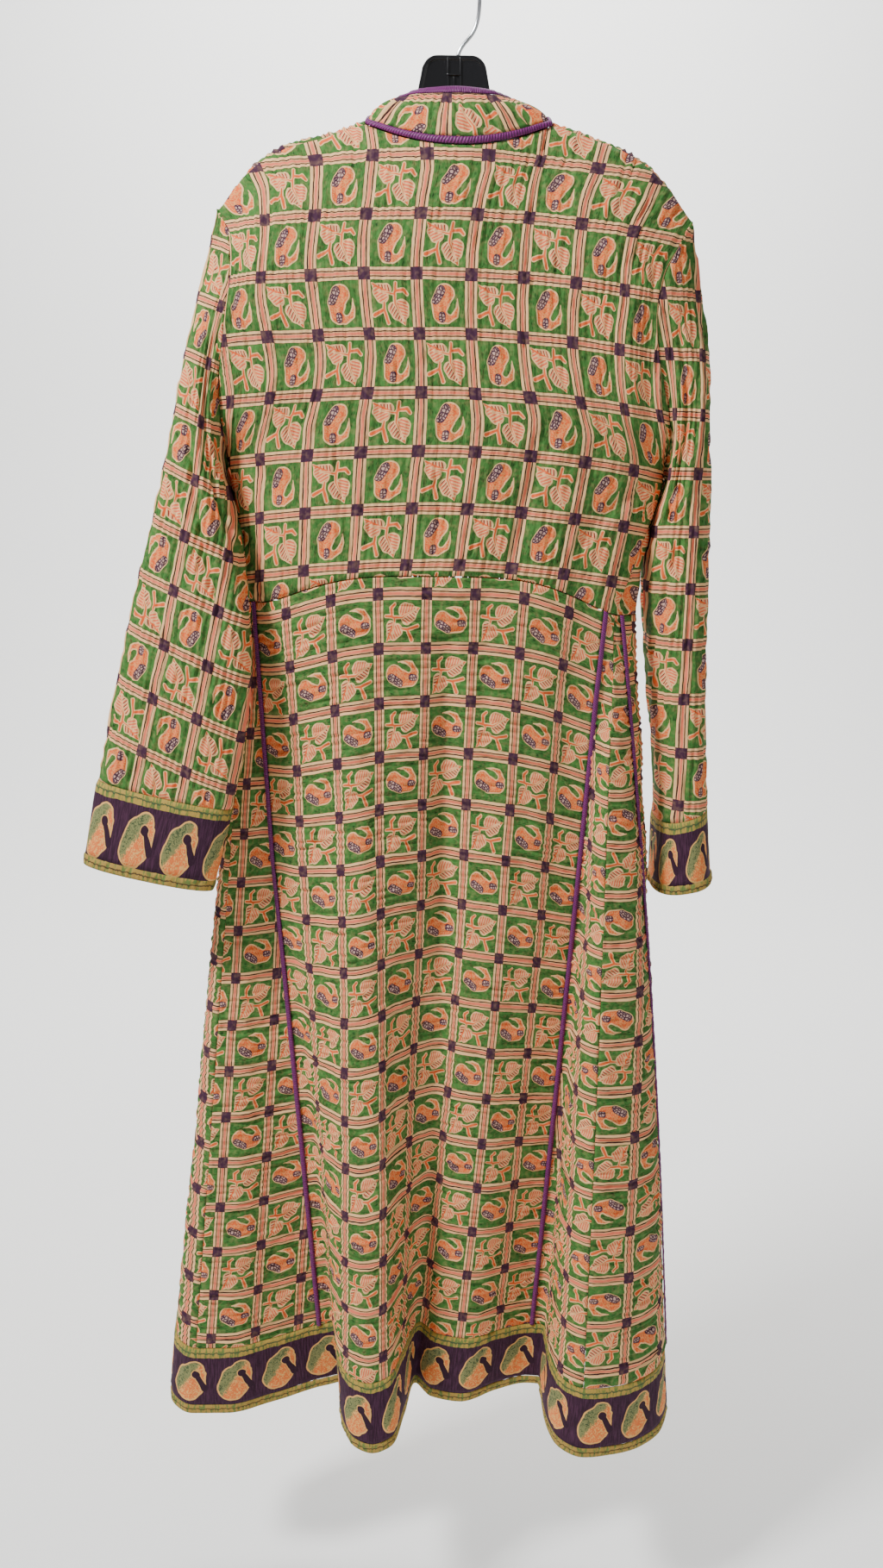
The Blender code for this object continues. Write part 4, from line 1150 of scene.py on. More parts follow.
    def material(self) -> Material:
        """The whole print on its cloth."""
        draft = Draft("block_printed_cotton_lawn")
        plain, laid, blocks = self.spots(draft)
        cell = draft.vector("FLOOR", blocks)
        part = draft.vector("FRACTION", blocks)
        centred = draft.vector("SUBTRACT", part, (0.5, 0.5, 0.0))
        block = (self.block_wide, self.block_high, 0)
        local = draft.vector("MULTIPLY", centred, block)
        ground = self.ground(draft, plain)
        ground = self.bands(draft, ground, local)
        lines = {"Vector": local, "Scale": 1 / self.scribble_size, "Detail": 1.0, "Distortion": 2.2}
        scribble = draft.within(draft.add("TexNoise", lines), 0.47, 0.06)
        with_paisley = self.paisley(draft, ground, local, scribble)
        with_sprig = self.sprig(draft, ground, local)
        total = draft.vector("DOT_PRODUCT", cell, (0.5, 0.5, 0))
        odd = draft.number("FRACT", total)
        which = draft.number("GREATER_THAN", odd, 0.25)
        drawn = draft.paint(with_paisley, with_sprig, which)
        worn = draft.noise(plain, self.worn_patch, 1.0)
        faded = draft.number("MULTIPLY_ADD", worn, 1.6, -0.72, clamp=True)
        pale = draft.number("MULTIPLY", faded, self.fading)
        drawn = draft.paint(drawn, linear(self.cream), pale)
        shader = {
            "Base Color": drawn,
            "Roughness": self.rough,
            "Specular IOR Level": 0.25,
        }
        return draft.surface(shader, self.weave_bump(draft, plain), 0.55)


SWAN_BODY = (
    Stroke(-3.0, -8.5, 15.6, 0.0, 4.0, 14.6),
    Stroke(0.0, 4.0, 14.6, 7.0, 13.2, 11.0),
    Stroke(1.0, -11.5, 12.6, 6.0, -8.0, 11.4),
)
SWAN_BEAK = Stroke(15.2, 9.0, 4.6, 19.0, -7.5, 0.4)
SWAN_CURL = (Stroke(7.8, 8.2, 4.2, 8.6, 7.6, 4.2), Stroke(9.6, 6.0, 2.6, 18.0, -9.0, 3.8))


@dataclass(frozen=True)
class BorderCotton:
    """The same cotton lawn printed as a border: paisley swans on plum, under a puckered beige edge.

    The dark ground takes up light unevenly, with purple streaks where the ink ran thin.
    """

    plum: str = "#331a2c"
    plum_pale: str = "#57324c"
    cream: str = "#ecb468"
    leaf: str = "#868858"
    leaf_deep: str = "#47573b"
    orange: str = "#ea7a40"
    beige: str = "#b69749"
    edge_green: str = "#697c40"
    repeat: float = 50.0
    strip: float = 10.5
    middle: float = 38.8
    wobble: float = 2.0
    wobble_size: float = 9.0
    pleat: tuple[float, float] = (3.2, 12.0)
    streak: tuple[float, float] = (1.6, 16.0)
    scribble_size: float = 3.4
    pucker: float = 2.4
    rough: float = 0.84

    def edge_strip(self, draft: Draft, plain: Socket, down: Socket) -> Socket:
        """The beige and green strip with its dark wavy line."""
        pleats = draft.lumps(plain, self.pleat, 2.0)
        pleated = draft.within(pleats, 0.47, 0.12)
        drawn = draft.paint(linear(self.beige), linear(self.edge_green), pleated)
        wave = draft.number("MULTIPLY_ADD", pleats, 5.0, down)
        line = draft.number("SUBTRACT", wave, 2.5 + self.strip / 2)
        line = draft.number("ABSOLUTE", line)
        return draft.paint(drawn, linear(self.leaf_deep), draft.within(line, 0.8, 0.8))

    def swan(self, draft: Draft, ground: Socket, spot: Socket, plain: Socket) -> Socket:
        """One paisley swan, half leaf green and half orange, inside a cream rim."""
        body = joined(draft, spot, SWAN_BODY + (SWAN_BEAK,))
        curl = joined(draft, spot, SWAN_CURL)
        lines = {"Vector": plain, "Scale": 1 / self.scribble_size, "Detail": 2.0, "Distortion": 2.0}
        scribble = draft.add("TexNoise", lines)
        lean = draft.vector("DOT_PRODUCT", spot, (0.8, -0.55, 0))
        split = draft.number("MULTIPLY_ADD", scribble, -16.0, lean)
        half = draft.within(split, -8.5, 1.2)
        feather = draft.within(scribble, 0.45, 0.05)
        green = draft.paint(linear(self.leaf), linear(self.leaf_deep), feather)
        orange = draft.paint(linear(self.orange), linear(self.cream), draft.within(scribble, 0.46, 0.05))
        drawn = draft.paint(ground, linear(self.cream), draft.within(body))
        drawn = draft.paint(drawn, draft.paint(orange, green, half), draft.within(body, -1.6))
        rim = draft.both(draft.within(curl, 0.9), draft.within(body))
        drawn = draft.paint(drawn, linear(self.cream), rim)
        return draft.paint(drawn, linear(self.plum), draft.within(curl))

    def material(self) -> Material:
        """The whole border on its cloth."""
        draft = Draft("border_printed_cotton_lawn")
        plain = draft.on_print()
        noise = draft.noise(plain, self.wobble_size, 1.0, take="Color")
        centred = draft.vector("SUBTRACT", noise, (0.5, 0.5, 0.5))
        laid = draft.vector("MULTIPLY_ADD", centred, (self.wobble, self.wobble, 0), plain)
        moved = draft.vector("ADD", laid, (0, self.middle, 0))
        size = (1 / self.repeat, 1 / (4 * self.repeat), 0)
        blocks = draft.vector("MULTIPLY", moved, size)
        centred = draft.vector("ADD", blocks, (0, 0.5, 0))
        part = draft.vector("FRACTION", centred)
        back = draft.vector("SUBTRACT", part, (0.5, 0.5, 0))
        block = (self.repeat, 4 * self.repeat, 0)
        spot = draft.vector("MULTIPLY", back, block)
        streaks = draft.lumps(plain, self.streak, 3.0)
        streaked = draft.number("MULTIPLY_ADD", streaks, 2.6, -1.05, clamp=True)
        ground = draft.paint(linear(self.plum), linear(self.plum_pale), streaked)
        drawn = self.swan(draft, ground, spot, plain)
        down = draft.vector("DOT_PRODUCT", laid, (0, -1, 0))
        drawn = draft.paint(drawn, self.edge_strip(draft, plain, down), draft.within(down, self.strip))
        shader = {"Base Color": drawn, "Roughness": self.rough, "Specular IOR Level": 0.25}
        fine = draft.noise(plain, self.pucker, 3.0)
        return draft.surface(shader, fine, 0.6)


@dataclass(frozen=True)
class EdgeCotton:
    """The narrow cotton binding at the hem and cuffs, beige and green, drawn up by its stitches."""

    beige: str = "#b09048"
    green: str = "#697c40"
    dark: str = "#4a382b"
    pleat: tuple[float, float] = (3.0, 9.0)
    stitched_at: float = 7.2
    rough: float = 0.86

    def material(self) -> Material:
        """Pleated stripes that run across the strip, with a dark stitched line along it."""
        draft = Draft("puckered_cotton_binding")
        plain = draft.on_print()
        pleats = draft.lumps(plain, self.pleat, 3.0)
        drawn = draft.paint(linear(self.beige), linear(self.green), draft.within(pleats, 0.46, 0.12))
        down = draft.vector("DOT_PRODUCT", plain, (0, -1, 0))
        wave = draft.number("MULTIPLY_ADD", pleats, 4.0, down)
        off = draft.number("SUBTRACT", wave, self.stitched_at)
        line = draft.number("ABSOLUTE", off)
        drawn = draft.paint(drawn, linear(self.dark), draft.within(line, 0.6, 0.8))
        shader = {"Base Color": drawn, "Roughness": self.rough, "Specular IOR Level": 0.25}
        return draft.surface(shader, draft.number("MULTIPLY", pleats, 2.0), 0.7)


@dataclass(frozen=True)
class PipingSilk:
    """Artificial silk, woven in fine ribs and sewn down as piping: purple with a soft slanting shine."""

    purple: str = "#78186e"
    rib_shade: str = "#4b0a46"
    pitch: float = 2.1
    slant: float = 0.35
    sway_size: float = 6.0
    rough: float = 0.55

    def material(self) -> Material:
        """Ribs that lie across the piping, with shade painted into the grooves between its stitches."""
        draft = Draft("purple_silk_piping")
        plain = draft.on_print()
        along = draft.vector("DOT_PRODUCT", plain, (self.slant, 1.0, 0))
        noise = draft.noise(plain, self.sway_size, 2.0)
        swayed = draft.number("MULTIPLY_ADD", noise, 2.0, along)
        turns = draft.number("MULTIPLY", swayed, math.tau / self.pitch)
        ribs = draft.number("SINE", turns)
        # Painted shade: the grooves between the ribs take a darker purple.
        drawn = draft.paint(linear(self.purple), linear(self.rib_shade), draft.within(ribs, -0.35, 0.8))
        shader = {
            "Base Color": drawn,
            "Roughness": self.rough,
            "Sheen Weight": 0.08,
            "Sheen Roughness": 0.3,
        }
        return draft.surface(shader, draft.number("MULTIPLY", ribs, 0.25), 0.7)


@dataclass(frozen=True)
class HangerPlastic:
    """Black polystyrene, injection moulded: nearly a mirror, with the faint waves of its mould."""

    black: str = "#17171a"
    rough: float = 0.16
    wave: float = 22.0
    smear: float = 6.0

    def material(self) -> Material:
        """A glossy black whose gloss is broken by handling."""
        draft = Draft("moulded_black_polystyrene")
        wide = draft.on_object()
        waves = draft.noise(wide, self.wave, 1.0)
        smears = draft.noise(wide, self.smear, 4.0)
        gloss = draft.number("MULTIPLY_ADD", smears, 0.16, self.rough - 0.06)
        shader = {"Base Color": linear(self.black), "Roughness": gloss, "IOR": 1.59}
        return draft.surface(shader, waves, 0.4)


@dataclass(frozen=True)
class HookSteel:
    """Steel wire, drawn and chrome plated: bright, with fine lines along it."""

    chrome: str = "#d4d6da"
    rub: float = 2.0
    rough: float = 0.14

    def material(self) -> Material:
        """A bright metal, a little duller where it has rubbed on rails."""
        draft = Draft("chrome_plated_wire")
        wide = draft.on_object()
        rubbed = draft.noise(wide, self.rub, 3.0)
        gloss = draft.number("MULTIPLY_ADD", rubbed, 0.18, self.rough - 0.06)
        shader = {"Base Color": linear(self.chrome), "Metallic": 1.0, "Roughness": gloss}
        return draft.surface(shader, rubbed, 0.06)


@dataclass(frozen=True)
class Finishes:
    """Every material of the robe."""

    cotton: Material
    border: Material
    edge: Material
    silk: Material
    plastic: Material
    steel: Material

    @classmethod
    def make(cls) -> "Finishes":
        """Makes them all once."""
        return cls(
            PrintedCotton().material(),
            BorderCotton().material(),
            EdgeCotton().material(),
            PipingSilk().material(),
            HangerPlastic().material(),
            HookSteel().material(),
        )


# The robe's sub-assemblies

STITCHED_TRIM = Quilting(
    pitch=1.0, rise=0.0, pucker=0.3 * MM, stitch=2.4 * MM, seam_dip=0.0, seam_reach=0.8 * MM
)
PUCKERED_EDGE = Quilting(pitch=5.0 * MM, rise=0.9 * MM, seam_dip=0.7 * MM, seam_reach=2.5 * MM)
CUFF_QUILTING = Quilting(rise=0.5 * MM, pucker=0.35 * MM, seam_dip=0.5 * MM, seam_reach=3.0 * MM)
BORDER_QUILTING = Quilting(
    pitch=7.5 * MM, rise=0.6 * MM, pucker=0.4 * MM, seam_dip=0.6 * MM, seam_reach=3.0 * MM
)


class EvenSpread:
    """Walks across a form in equal lengths at every level down it."""

    def __init__(self, curve: Shape, start: float, end: float, levels: int = 17) -> None:
        """Measures the form's lines across.

        Args:
            curve: Gives points for values across, from start to end, at shares down.
            start: The first value across.
            end: The last value.
            levels: How many lines are measured.
        """
        self.shares = np.linspace(0.0, 1.0, 401)
        self.levels = levels
        values = np.linspace(start, end, 1401)
        rows, self.widths = [], []
        for t in np.linspace(0.0, 1.0, levels):
            steps = np.linalg.norm(np.diff(curve(values, np.full_like(values, t)), axis=0), axis=1)
            run = np.concatenate(([0.0], np.cumsum(steps)))
            rows.append(np.interp(self.shares, run / run[-1], values))
            self.widths.append(float(run[-1]))
        self.values = np.array(rows)

    def at(self, s: Array, t: Array) -> Array:
        """The value across that lies a share s along the line at a share t down."""
        down = np.clip(t, 0, 1) * (self.levels - 1)
        row = np.minimum(down.astype(int), self.levels - 2)
        along = np.clip(s, 0, 1) * (len(self.shares) - 1)
        column = np.minimum(along.astype(int), len(self.shares) - 2)
        upper = mix(self.values[row, column], self.values[row, column + 1], along - column)
        lower = mix(self.values[row + 1, column], self.values[row + 1, column + 1], along - column)
        return mix(upper, lower, down - row)


def hang(piece: bpy.types.Object, node: str) -> bpy.types.Object:
    """Puts a piece in place of the solid it stands for.

    Args:
        piece: The finished piece.
        node: The solid's name.

    Returns:
        The same piece.
    """
    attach(piece, "root")
    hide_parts(node)
    log.info("%s: %d faces", piece.name, len(piece.data.polygons))
    return piece


@dataclass
class Bodice:
    """The back and the two fronts, printed upright and cut on the straight grain."""

    finishes: Finishes
    torso: TorsoForm = TorsoForm()
    length: float = 0.400
    centre: float = 0.0
    row_level: float = -0.3214
    row_stretch: float = 1.05
    row_slope: float = -0.012
    spread: Table = Table(
        "down width lean left_droop right_droop",
        (0.00, 0.440, 0.0250, 0.30, 0.35),
        (0.25, 0.442, 0.0250, 0.22, 0.40),
        (0.50, 0.490, 0.0250, 0.30, 0.42),
        (0.75, 0.425, 0.0235, 0.45, 0.48),
        (1.00, 0.375, 0.0230, 0.60, 0.60),
    )
    back_creases: tuple[Crease, ...] = (
        Crease((0.02, 0.30), (0.13, 0.62), 0.010, -0.0035),
        Crease((0.06, 0.18), (0.16, 0.52), 0.012, 0.0022),
        Crease((0.03, 0.56), (0.17, 0.80), 0.009, -0.0030),
        Crease((0.98, 0.26), (0.90, 0.62), 0.010, -0.0035),
        Crease((0.93, 0.20), (0.86, 0.60), 0.012, 0.0022),
        Crease((0.97, 0.58), (0.84, 0.86), 0.009, -0.0032),
        Crease((0.28, 0.66), (0.30, 1.00), 0.007, -0.0026),
        Crease((0.70, 0.62), (0.69, 1.00), 0.008, -0.0028),
        Crease((0.50, 0.74), (0.51, 1.00), 0.007, -0.0018),
    )

    def turn(self, side: int, turn: Array, down: Array) -> Array:
        """A turn drawn in where the side seam comes towards the back."""
        return turn * self.torso.side_turn(side, down) / (90.0 * side)

    def back(self) -> ClothPiece:
        """The back, shoulder to waist."""

        def seam_to_seam(turn: Array, t: Array) -> Array:
            """Points of the back for turns from -90 to 90."""
            right, left = self.turn(1, turn, t), self.turn(-1, turn, t)
            return self.torso.point(np.where(turn > 0, right, left), t)

        spread = EvenSpread(seam_to_seam, -90.0, 90.0)

        def shape(s: Array, t: Array) -> Array:
            """Points of the back, evenly across."""
            return seam_to_seam(spread.at(s, t), t)

        def flat(s: Array, t: Array, points: Array) -> tuple[Array, Array]:
            """The cloth's grain: columns lean a little to the left, and rows droop to the sides."""
            u = (s - 0.5) * self.spread.at("width", t) + self.spread.at("lean", t)
            off = points[..., 0] - self.centre
            droop = np.where(off > 0, self.spread.at("right_droop", t), self.spread.at("left_droop", t))
            fall = (self.row_level - points[..., 2]) * self.row_stretch
            return u, fall - droop * off**2 + self.row_slope * off

        size = (0.46, self.length)
        return ClothPiece("back_bodice", shape, size, flat, creases=self.back_creases, seed=11)

    def front(self, side: int, word: str) -> ClothPiece:
        """One front, from its side seam to its neck edge."""
        torso = self.torso

        def shape(s: Array, t: Array) -> Array:
            """Points of the front, from its left edge to its right edge seen from outside."""
            start = torso.side_turn(side, t, torso.front_side_turn)
            end = torso.neck_edge_turn(side, t)
            share = s if side > 0 else 1 - s
            return torso.front_point(mix(start, end, share), t)

        def flat(s: Array, t: Array, points: Array) -> tuple[Array, Array]:
            """The grain hangs straight down."""
            out = -points[..., 0]
            return out * 1.15 + side * 0.3 * (points[..., 1] - 0.05), self.row_level - points[..., 2]

        creases = (
            Crease((0.1, 0.25), (0.3, 0.6), 0.010, -0.0025),
            Crease((0.8, 0.3), (0.65, 0.75), 0.011, -0.0025),
            Crease((0.45, 0.6), (0.5, 1.0), 0.008, -0.0022),
        )
        name = f"front_bodice_{word}"
        return ClothPiece(name, shape, (0.19, 0.43), flat, creases=creases, seed=21 + side)

    def build(self) -> list[bpy.types.Object]:
        """Makes the three panels."""
        made = [hang(self.back().build(self.finishes.cotton), "back_bodice")]
        for side, word in ((-1, "left"), (1, "right")):
            piece = self.front(side, word).build(self.finishes.cotton)
            made.append(hang(piece, f"front_bodice_{word}"))
        return made


@dataclass
class Sleeve:
    """One sleeve with its border cuff and the cuff's binding.

    The print hangs straight as it is seen from behind: right and down say how far its place moves over
    the cloth for a metre of the robe, sideways and up. The slack draws the inner edge to the bodice.
    """

    finishes: Finishes
    form: SleeveForm
    word: str
    facing: Facing
    shift: tuple[float, float]
    right: tuple[float, float]
    down: tuple[float, float]
    creases: tuple[Crease, ...]
    length: float = 0.62
    slack: float = 0.0
    slack_at: float = 0.31
    slack_reach: float = 0.22
    wrap: float = 0.25

    def piece(
        self, name: str, start: float, end: float, across: float | None = None, **settings: object
    ) -> ClothPiece:
        """A stretch of the sleeve that closes round.

        Args:
            name: The piece's name.
            start: Where it starts along the sleeve.
            end: Where it ends.
            across: How much print goes once round it, or none for the sleeve's own grain.
            settings: How its print lies.

        Returns:
            The piece, ready to build.
        """
        form = self.form
        turns = (-math.pi, math.pi) if form.side < 0 else (math.pi, -math.pi)
        spread = EvenSpread(lambda angle, t: form.point(angle, mix(start, end, t)), *turns)

        def shape(s: Array, t: Array) -> Array:
            """Points of the stretch, turning the way that is to the right from outside."""
            angle, along = spread.at(s, t), mix(start, end, t)
            points = form.point(angle, along)
            near = np.exp(-(((along - self.slack_at) / self.slack_reach) ** 2))
            leans = near * (1 - np.cos(angle)) / 2
            points[..., 0] -= form.side * self.slack * leans
            return points

        def flat(s: Array, t: Array, points: Array) -> tuple[Array, Array]:
            """The grain hangs as it is seen from the back, and wraps round the outer line."""
            if across is not None:
                return (s - 0.5) * across, t * (end - start) * self.length
            outer = form.point(np.zeros_like(s), mix(start, end, t))
            right = np.array((self.right[0], 0.0, self.right[1]))
            down = np.array((self.down[0], 0.0, self.down[1]))
            round_it = np.abs(s - 0.5) * np.interp(t, np.linspace(0, 1, spread.levels), spread.widths)
            away = mix(np.abs((points - outer) @ right), round_it, self.wrap)
            return outer @ right + np.sign(s - 0.5) * away, points @ down

        flat_size = (max(spread.widths), (end - start) * self.length)
        return ClothPiece(name, shape, flat_size, flat, closed=True, **settings)

    def build(self) -> list[bpy.types.Object]:
        """Makes the sleeve, its cuff and the binding."""
        form, word = self.form, self.word
        gap = form.seam / self.length
        seed = 31 + form.side
        sleeve = self.piece(
            f"sleeve_{word}", 0.0, form.cuff_top - gap / 2,
            facing=self.facing, shift=self.shift, creases=self.creases, seed=seed,
        )
        made = [hang(sleeve.build(self.finishes.cotton), f"sleeve_{word}")]
        top, foot = form.cuff_top - gap / 2, form.cuff_foot + gap
        cuff = self.piece(
            f"cuff_{word}", top, foot, across=0.37,
            quilting=CUFF_QUILTING, inset=0.0, seed=seed + 4, fine=2.0 * MM,
        )
        made.append(hang(cuff.build(self.finishes.border), f"cuff_{word}"))
        bound = self.piece(
            f"cuff_binding_{word}", form.cuff_foot - gap, 1.0, across=0.28,
            quilting=PUCKERED_EDGE, inset=0.0, seed=seed + 8, fine=1.6 * MM, coarse=2.0 * MM,
        )
        made.append(hang(bound.build(self.finishes.edge), f"cuff_binding_{word}"))
        return made


@dataclass(frozen=True)
class SkirtPanel:
    """One panel of the skirt: where it lies, its cloth's widths, how its print lies, and its cut."""

    name: str
    first: int
    facing: Facing
    waist_width: float
    hem_width: float
    grain: float
    column: float
    row: float
    cut: tuple[float, float, float]
    creases: tuple[Crease, ...] = ()


@dataclass
class Skirt:
    """The seven panels, their border and binding, and the pipings along the gores."""

    finishes: Finishes
    form: SkirtForm = SkirtForm()
    length: float = 0.80
    panels: tuple[SkirtPanel, ...] = (
        SkirtPanel(
            "skirt_front_left", 0, Facing.LEFT, 0.21, 0.30, 1.0, 0.020, 0.012, cut=(0.30, 0.80, 0.204),
        ),
        SkirtPanel(
            "gore_front_left", 1, Facing.LEFT, 0.016, 0.075, 1.0, -0.012, 0.010, cut=(0.08, 0.80, 0.036),
        ),
        SkirtPanel(
            "gore_back_left", 2, Facing.LEFT, 0.016, 0.15, 0.0, 0.017, 0.028, cut=(0.15, 0.80, 0.064),
        ),
        SkirtPanel(
            "skirt_back", 3, Facing.LEFT, 0.41, 0.41, 0.0, 0.044, 0.065, cut=(0.41, 0.80, 0.328),
            creases=(
                Crease((0.557, 0.08), (0.57, 0.50), 0.012, -0.0100),
                Crease((0.35, 0.05), (0.36, 0.55), 0.012, -0.0025),
                Crease((0.80, 0.10), (0.82, 0.70), 0.013, -0.0030),
                Crease((0.14, 0.30), (0.20, 0.80), 0.010, -0.0025),
                Crease((0.66, 0.0), (0.68, 0.35), 0.010, -0.0020),
            ),
        ),
        SkirtPanel(
            "gore_back_right", 4, Facing.RIGHT, 0.016, 0.13, 1.0, -0.033, 0.030, cut=(0.13, 0.80, 0.058),
        ),
        SkirtPanel(
            "gore_front_right", 5, Facing.RIGHT, 0.016, 0.13, 0.0, 0.045, 0.022, cut=(0.13, 0.80, 0.058),
        ),
        SkirtPanel(
            "skirt_front_right", 6, Facing.RIGHT, 0.21, 0.30, 0.0, 0.020, 0.012, cut=(0.30, 0.80, 0.204),
        ),
    )
    ease_down: float = 0.988
    waist_gap: float = 0.0005
    piping: float = 0.0052
    piping_rise: float = 0.0016
    piping_lift: float = 0.0004
    piping_step: float = 0.004
    piped: tuple[tuple[float, str], ...] = (
        (1, "piping_front_left"),
        (3, "piping_back_left"),
        (4, "piping_back_right"),
        (6, "piping_front_right"),
    )

    def panel(self, plan: SkirtPanel) -> ClothPiece:
        """One panel, waist to border."""
        form = self.form
        start = self.waist_gap / self.length

        def waist_to_border(place: Array, t: Array) -> Array:
            """Points of the panel at places round the skirt."""
            return form.point(place, mix(start, form.border_top, t))

        spread = EvenSpread(waist_to_border, plan.first, plan.first + 1.0)

        def shape(s: Array, t: Array) -> Array:
            """Points of the panel, evenly across."""
            return waist_to_border(spread.at(s, t), t)

        def flat(s: Array, t: Array, points: Array) -> tuple[Array, Array]:
            """The grain runs along one edge, and rows stay square to it."""
            u = (s - plan.grain) * mix(plan.waist_width, plan.hem_width, t)
            return u - plan.column, t * self.length * self.ease_down - plan.row

        size = (max(spread.widths), self.length)
        hidden = plan.name.startswith("skirt_front")
        fine, coarse = (3.0 * MM, 7.0 * MM) if hidden else (2.0 * MM, 4.5 * MM)
        return ClothPiece(
            plan.name, shape, size, flat, facing=plan.facing, creases=plan.creases, seed=41 + plan.first,
            fine=fine, coarse=coarse,
        )

    def band(self, name: str, top: float, foot: float, **settings: object) -> tuple[ClothPiece, float]:
        """A band round the whole hem, and its length."""
        form = self.form
        spread = EvenSpread(lambda place, t: form.point(place, mix(top, foot, t)), 0.0, 7.0, levels=3)
        width = spread.widths[-1]
        height = (foot - top) / form.border_top * self.length

        def shape(s: Array, t: Array) -> Array:
            """Points of the band, evenly round."""
            return form.point(spread.at(s, t), mix(top, foot, t))

        def flat(s: Array, t: Array, points: Array) -> tuple[Array, Array]:
            """The band is straight, and as long as the hem."""
            return s * width, t * height

        return ClothPiece(name, shape, (width, height), flat, **settings), width

    def pipe(self, seam: float, name: str) -> bpy.types.Object:
        """One piping, a half round laid over a seam."""
        form = self.form

        def shape(s: Array, t: Array) -> Array:
            """Points across the piping, raised in its middle."""
            down = t * form.border_top
            middle = form.point(np.full_like(down, seam), down)
            left = form.point(np.full_like(down, seam - self.piping_step), down)
            right = form.point(np.full_like(down, seam + self.piping_step), down)
            across = right - left
            across /= np.linalg.norm(across, axis=-1, keepdims=True)
            out = np.stack((across[..., 1], -across[..., 0], 0 * down), axis=-1)
            rise = self.piping_lift + self.piping_rise * np.sin(np.pi * s) ** 0.6
            return middle + across * ((s - 0.5) * self.piping)[..., None] + out * rise[..., None]

        def flat(s: Array, t: Array, points: Array) -> tuple[Array, Array]:
            """Ribs lie across it."""
            return s * self.piping, t * self.length

        strip = ClothPiece(
            name, shape, (self.piping, self.length), flat, quilting=STITCHED_TRIM, swell=0.0,
            fine=0.8 * MM, coarse=1.6 * MM, thickness=0.7 * MM, inset=0.0, seed=61 + int(seam),
        )
        return strip.build(self.finishes.silk)

    def build(self) -> list[bpy.types.Object]:
        """Makes the panels, the border, its binding and the pipings."""
        made = []
        for plan in self.panels:
            piece = hang(self.panel(plan).build(self.finishes.cotton), plan.name)
            made.append(piece)
            wide, long, area = plan.cut
        form = self.form
        border, _ = self.band(
            "hem_border", form.border_top, form.border_foot,
            quilting=BORDER_QUILTING, seed=51, coarse=4.0 * MM, shift=(0.012, 0.0),
        )
        made.append(hang(border.build(self.finishes.border), "hem_border"))
        bound, width = self.band(
            "hem_binding", form.border_foot, 1.0,
            quilting=PUCKERED_EDGE, seed=52, fine=1.8 * MM, coarse=2.0 * MM,
        )
        made.append(hang(bound.build(self.finishes.edge), "hem_binding"))
        pipings = [hang(self.pipe(seam, name), name) for seam, name in self.piped]
        return made + pipings


@dataclass
class Collar:
    """The collar band, the piping in its seam and the binding over its free edge."""

    finishes: Finishes
    form: CollarForm = CollarForm()
    wide: float = 0.050
    strips: tuple[tuple[str, float, float, float], ...] = (
        ("collar_piping", 0.006, 0.12, 1.1 * MM),
        ("collar_band", 0.12, 0.86, 0.0),
        ("collar_binding", 0.86, 1.0, 1.1 * MM),
    )

    def strip(self, name: str, first: float, last: float, rise: float) -> bpy.types.Object:
        """A strip of the collar between two shares of its width."""
        form = self.form
        length = form.length()

        def shape(s: Array, t: Array) -> Array:
            """Points of the strip, from its upper edge down at the back of the neck."""
            return form.point(s, mix(last, first, t))

        def flat(s: Array, t: Array, points: Array) -> tuple[Array, Array]:
            """The grain follows the band."""
            return (s - 0.5) * length, (t * (last - first) + 1 - last) * self.wide

        trim = name != "collar_band"
        wide = (last - first) * self.wide
        piece = ClothPiece(
            name, shape, (length, wide), flat, facing=Facing.DOWN, shift=(-0.009, -0.0105), seed=71,
            quilting=Quilting(seam_dip=0.4 * MM, seam_reach=3.0 * MM), swell=0.6 * MM,
            fine=1.8 * MM, coarse=3.0 * MM, inset=0.2 * MM,
        )
        if trim:
            piece = replace(
                piece, facing=Facing.RIGHT, shift=(0.0, 0.0), quilting=STITCHED_TRIM, swell=0.0,
                fine=0.8 * MM, coarse=1.8 * MM, thickness=1.2 * MM, arch=rise,
            )
        return piece.build(self.finishes.silk if trim else self.finishes.cotton)

    def build(self) -> list[bpy.types.Object]:
        """Makes the three strips."""
        made = []
        for name, first, last, rise in self.strips:
            piece = hang(self.strip(name, first, last, rise), name)
            made.append(piece)
        flat = (self.form.length(), 0.74 * self.wide)
        return made


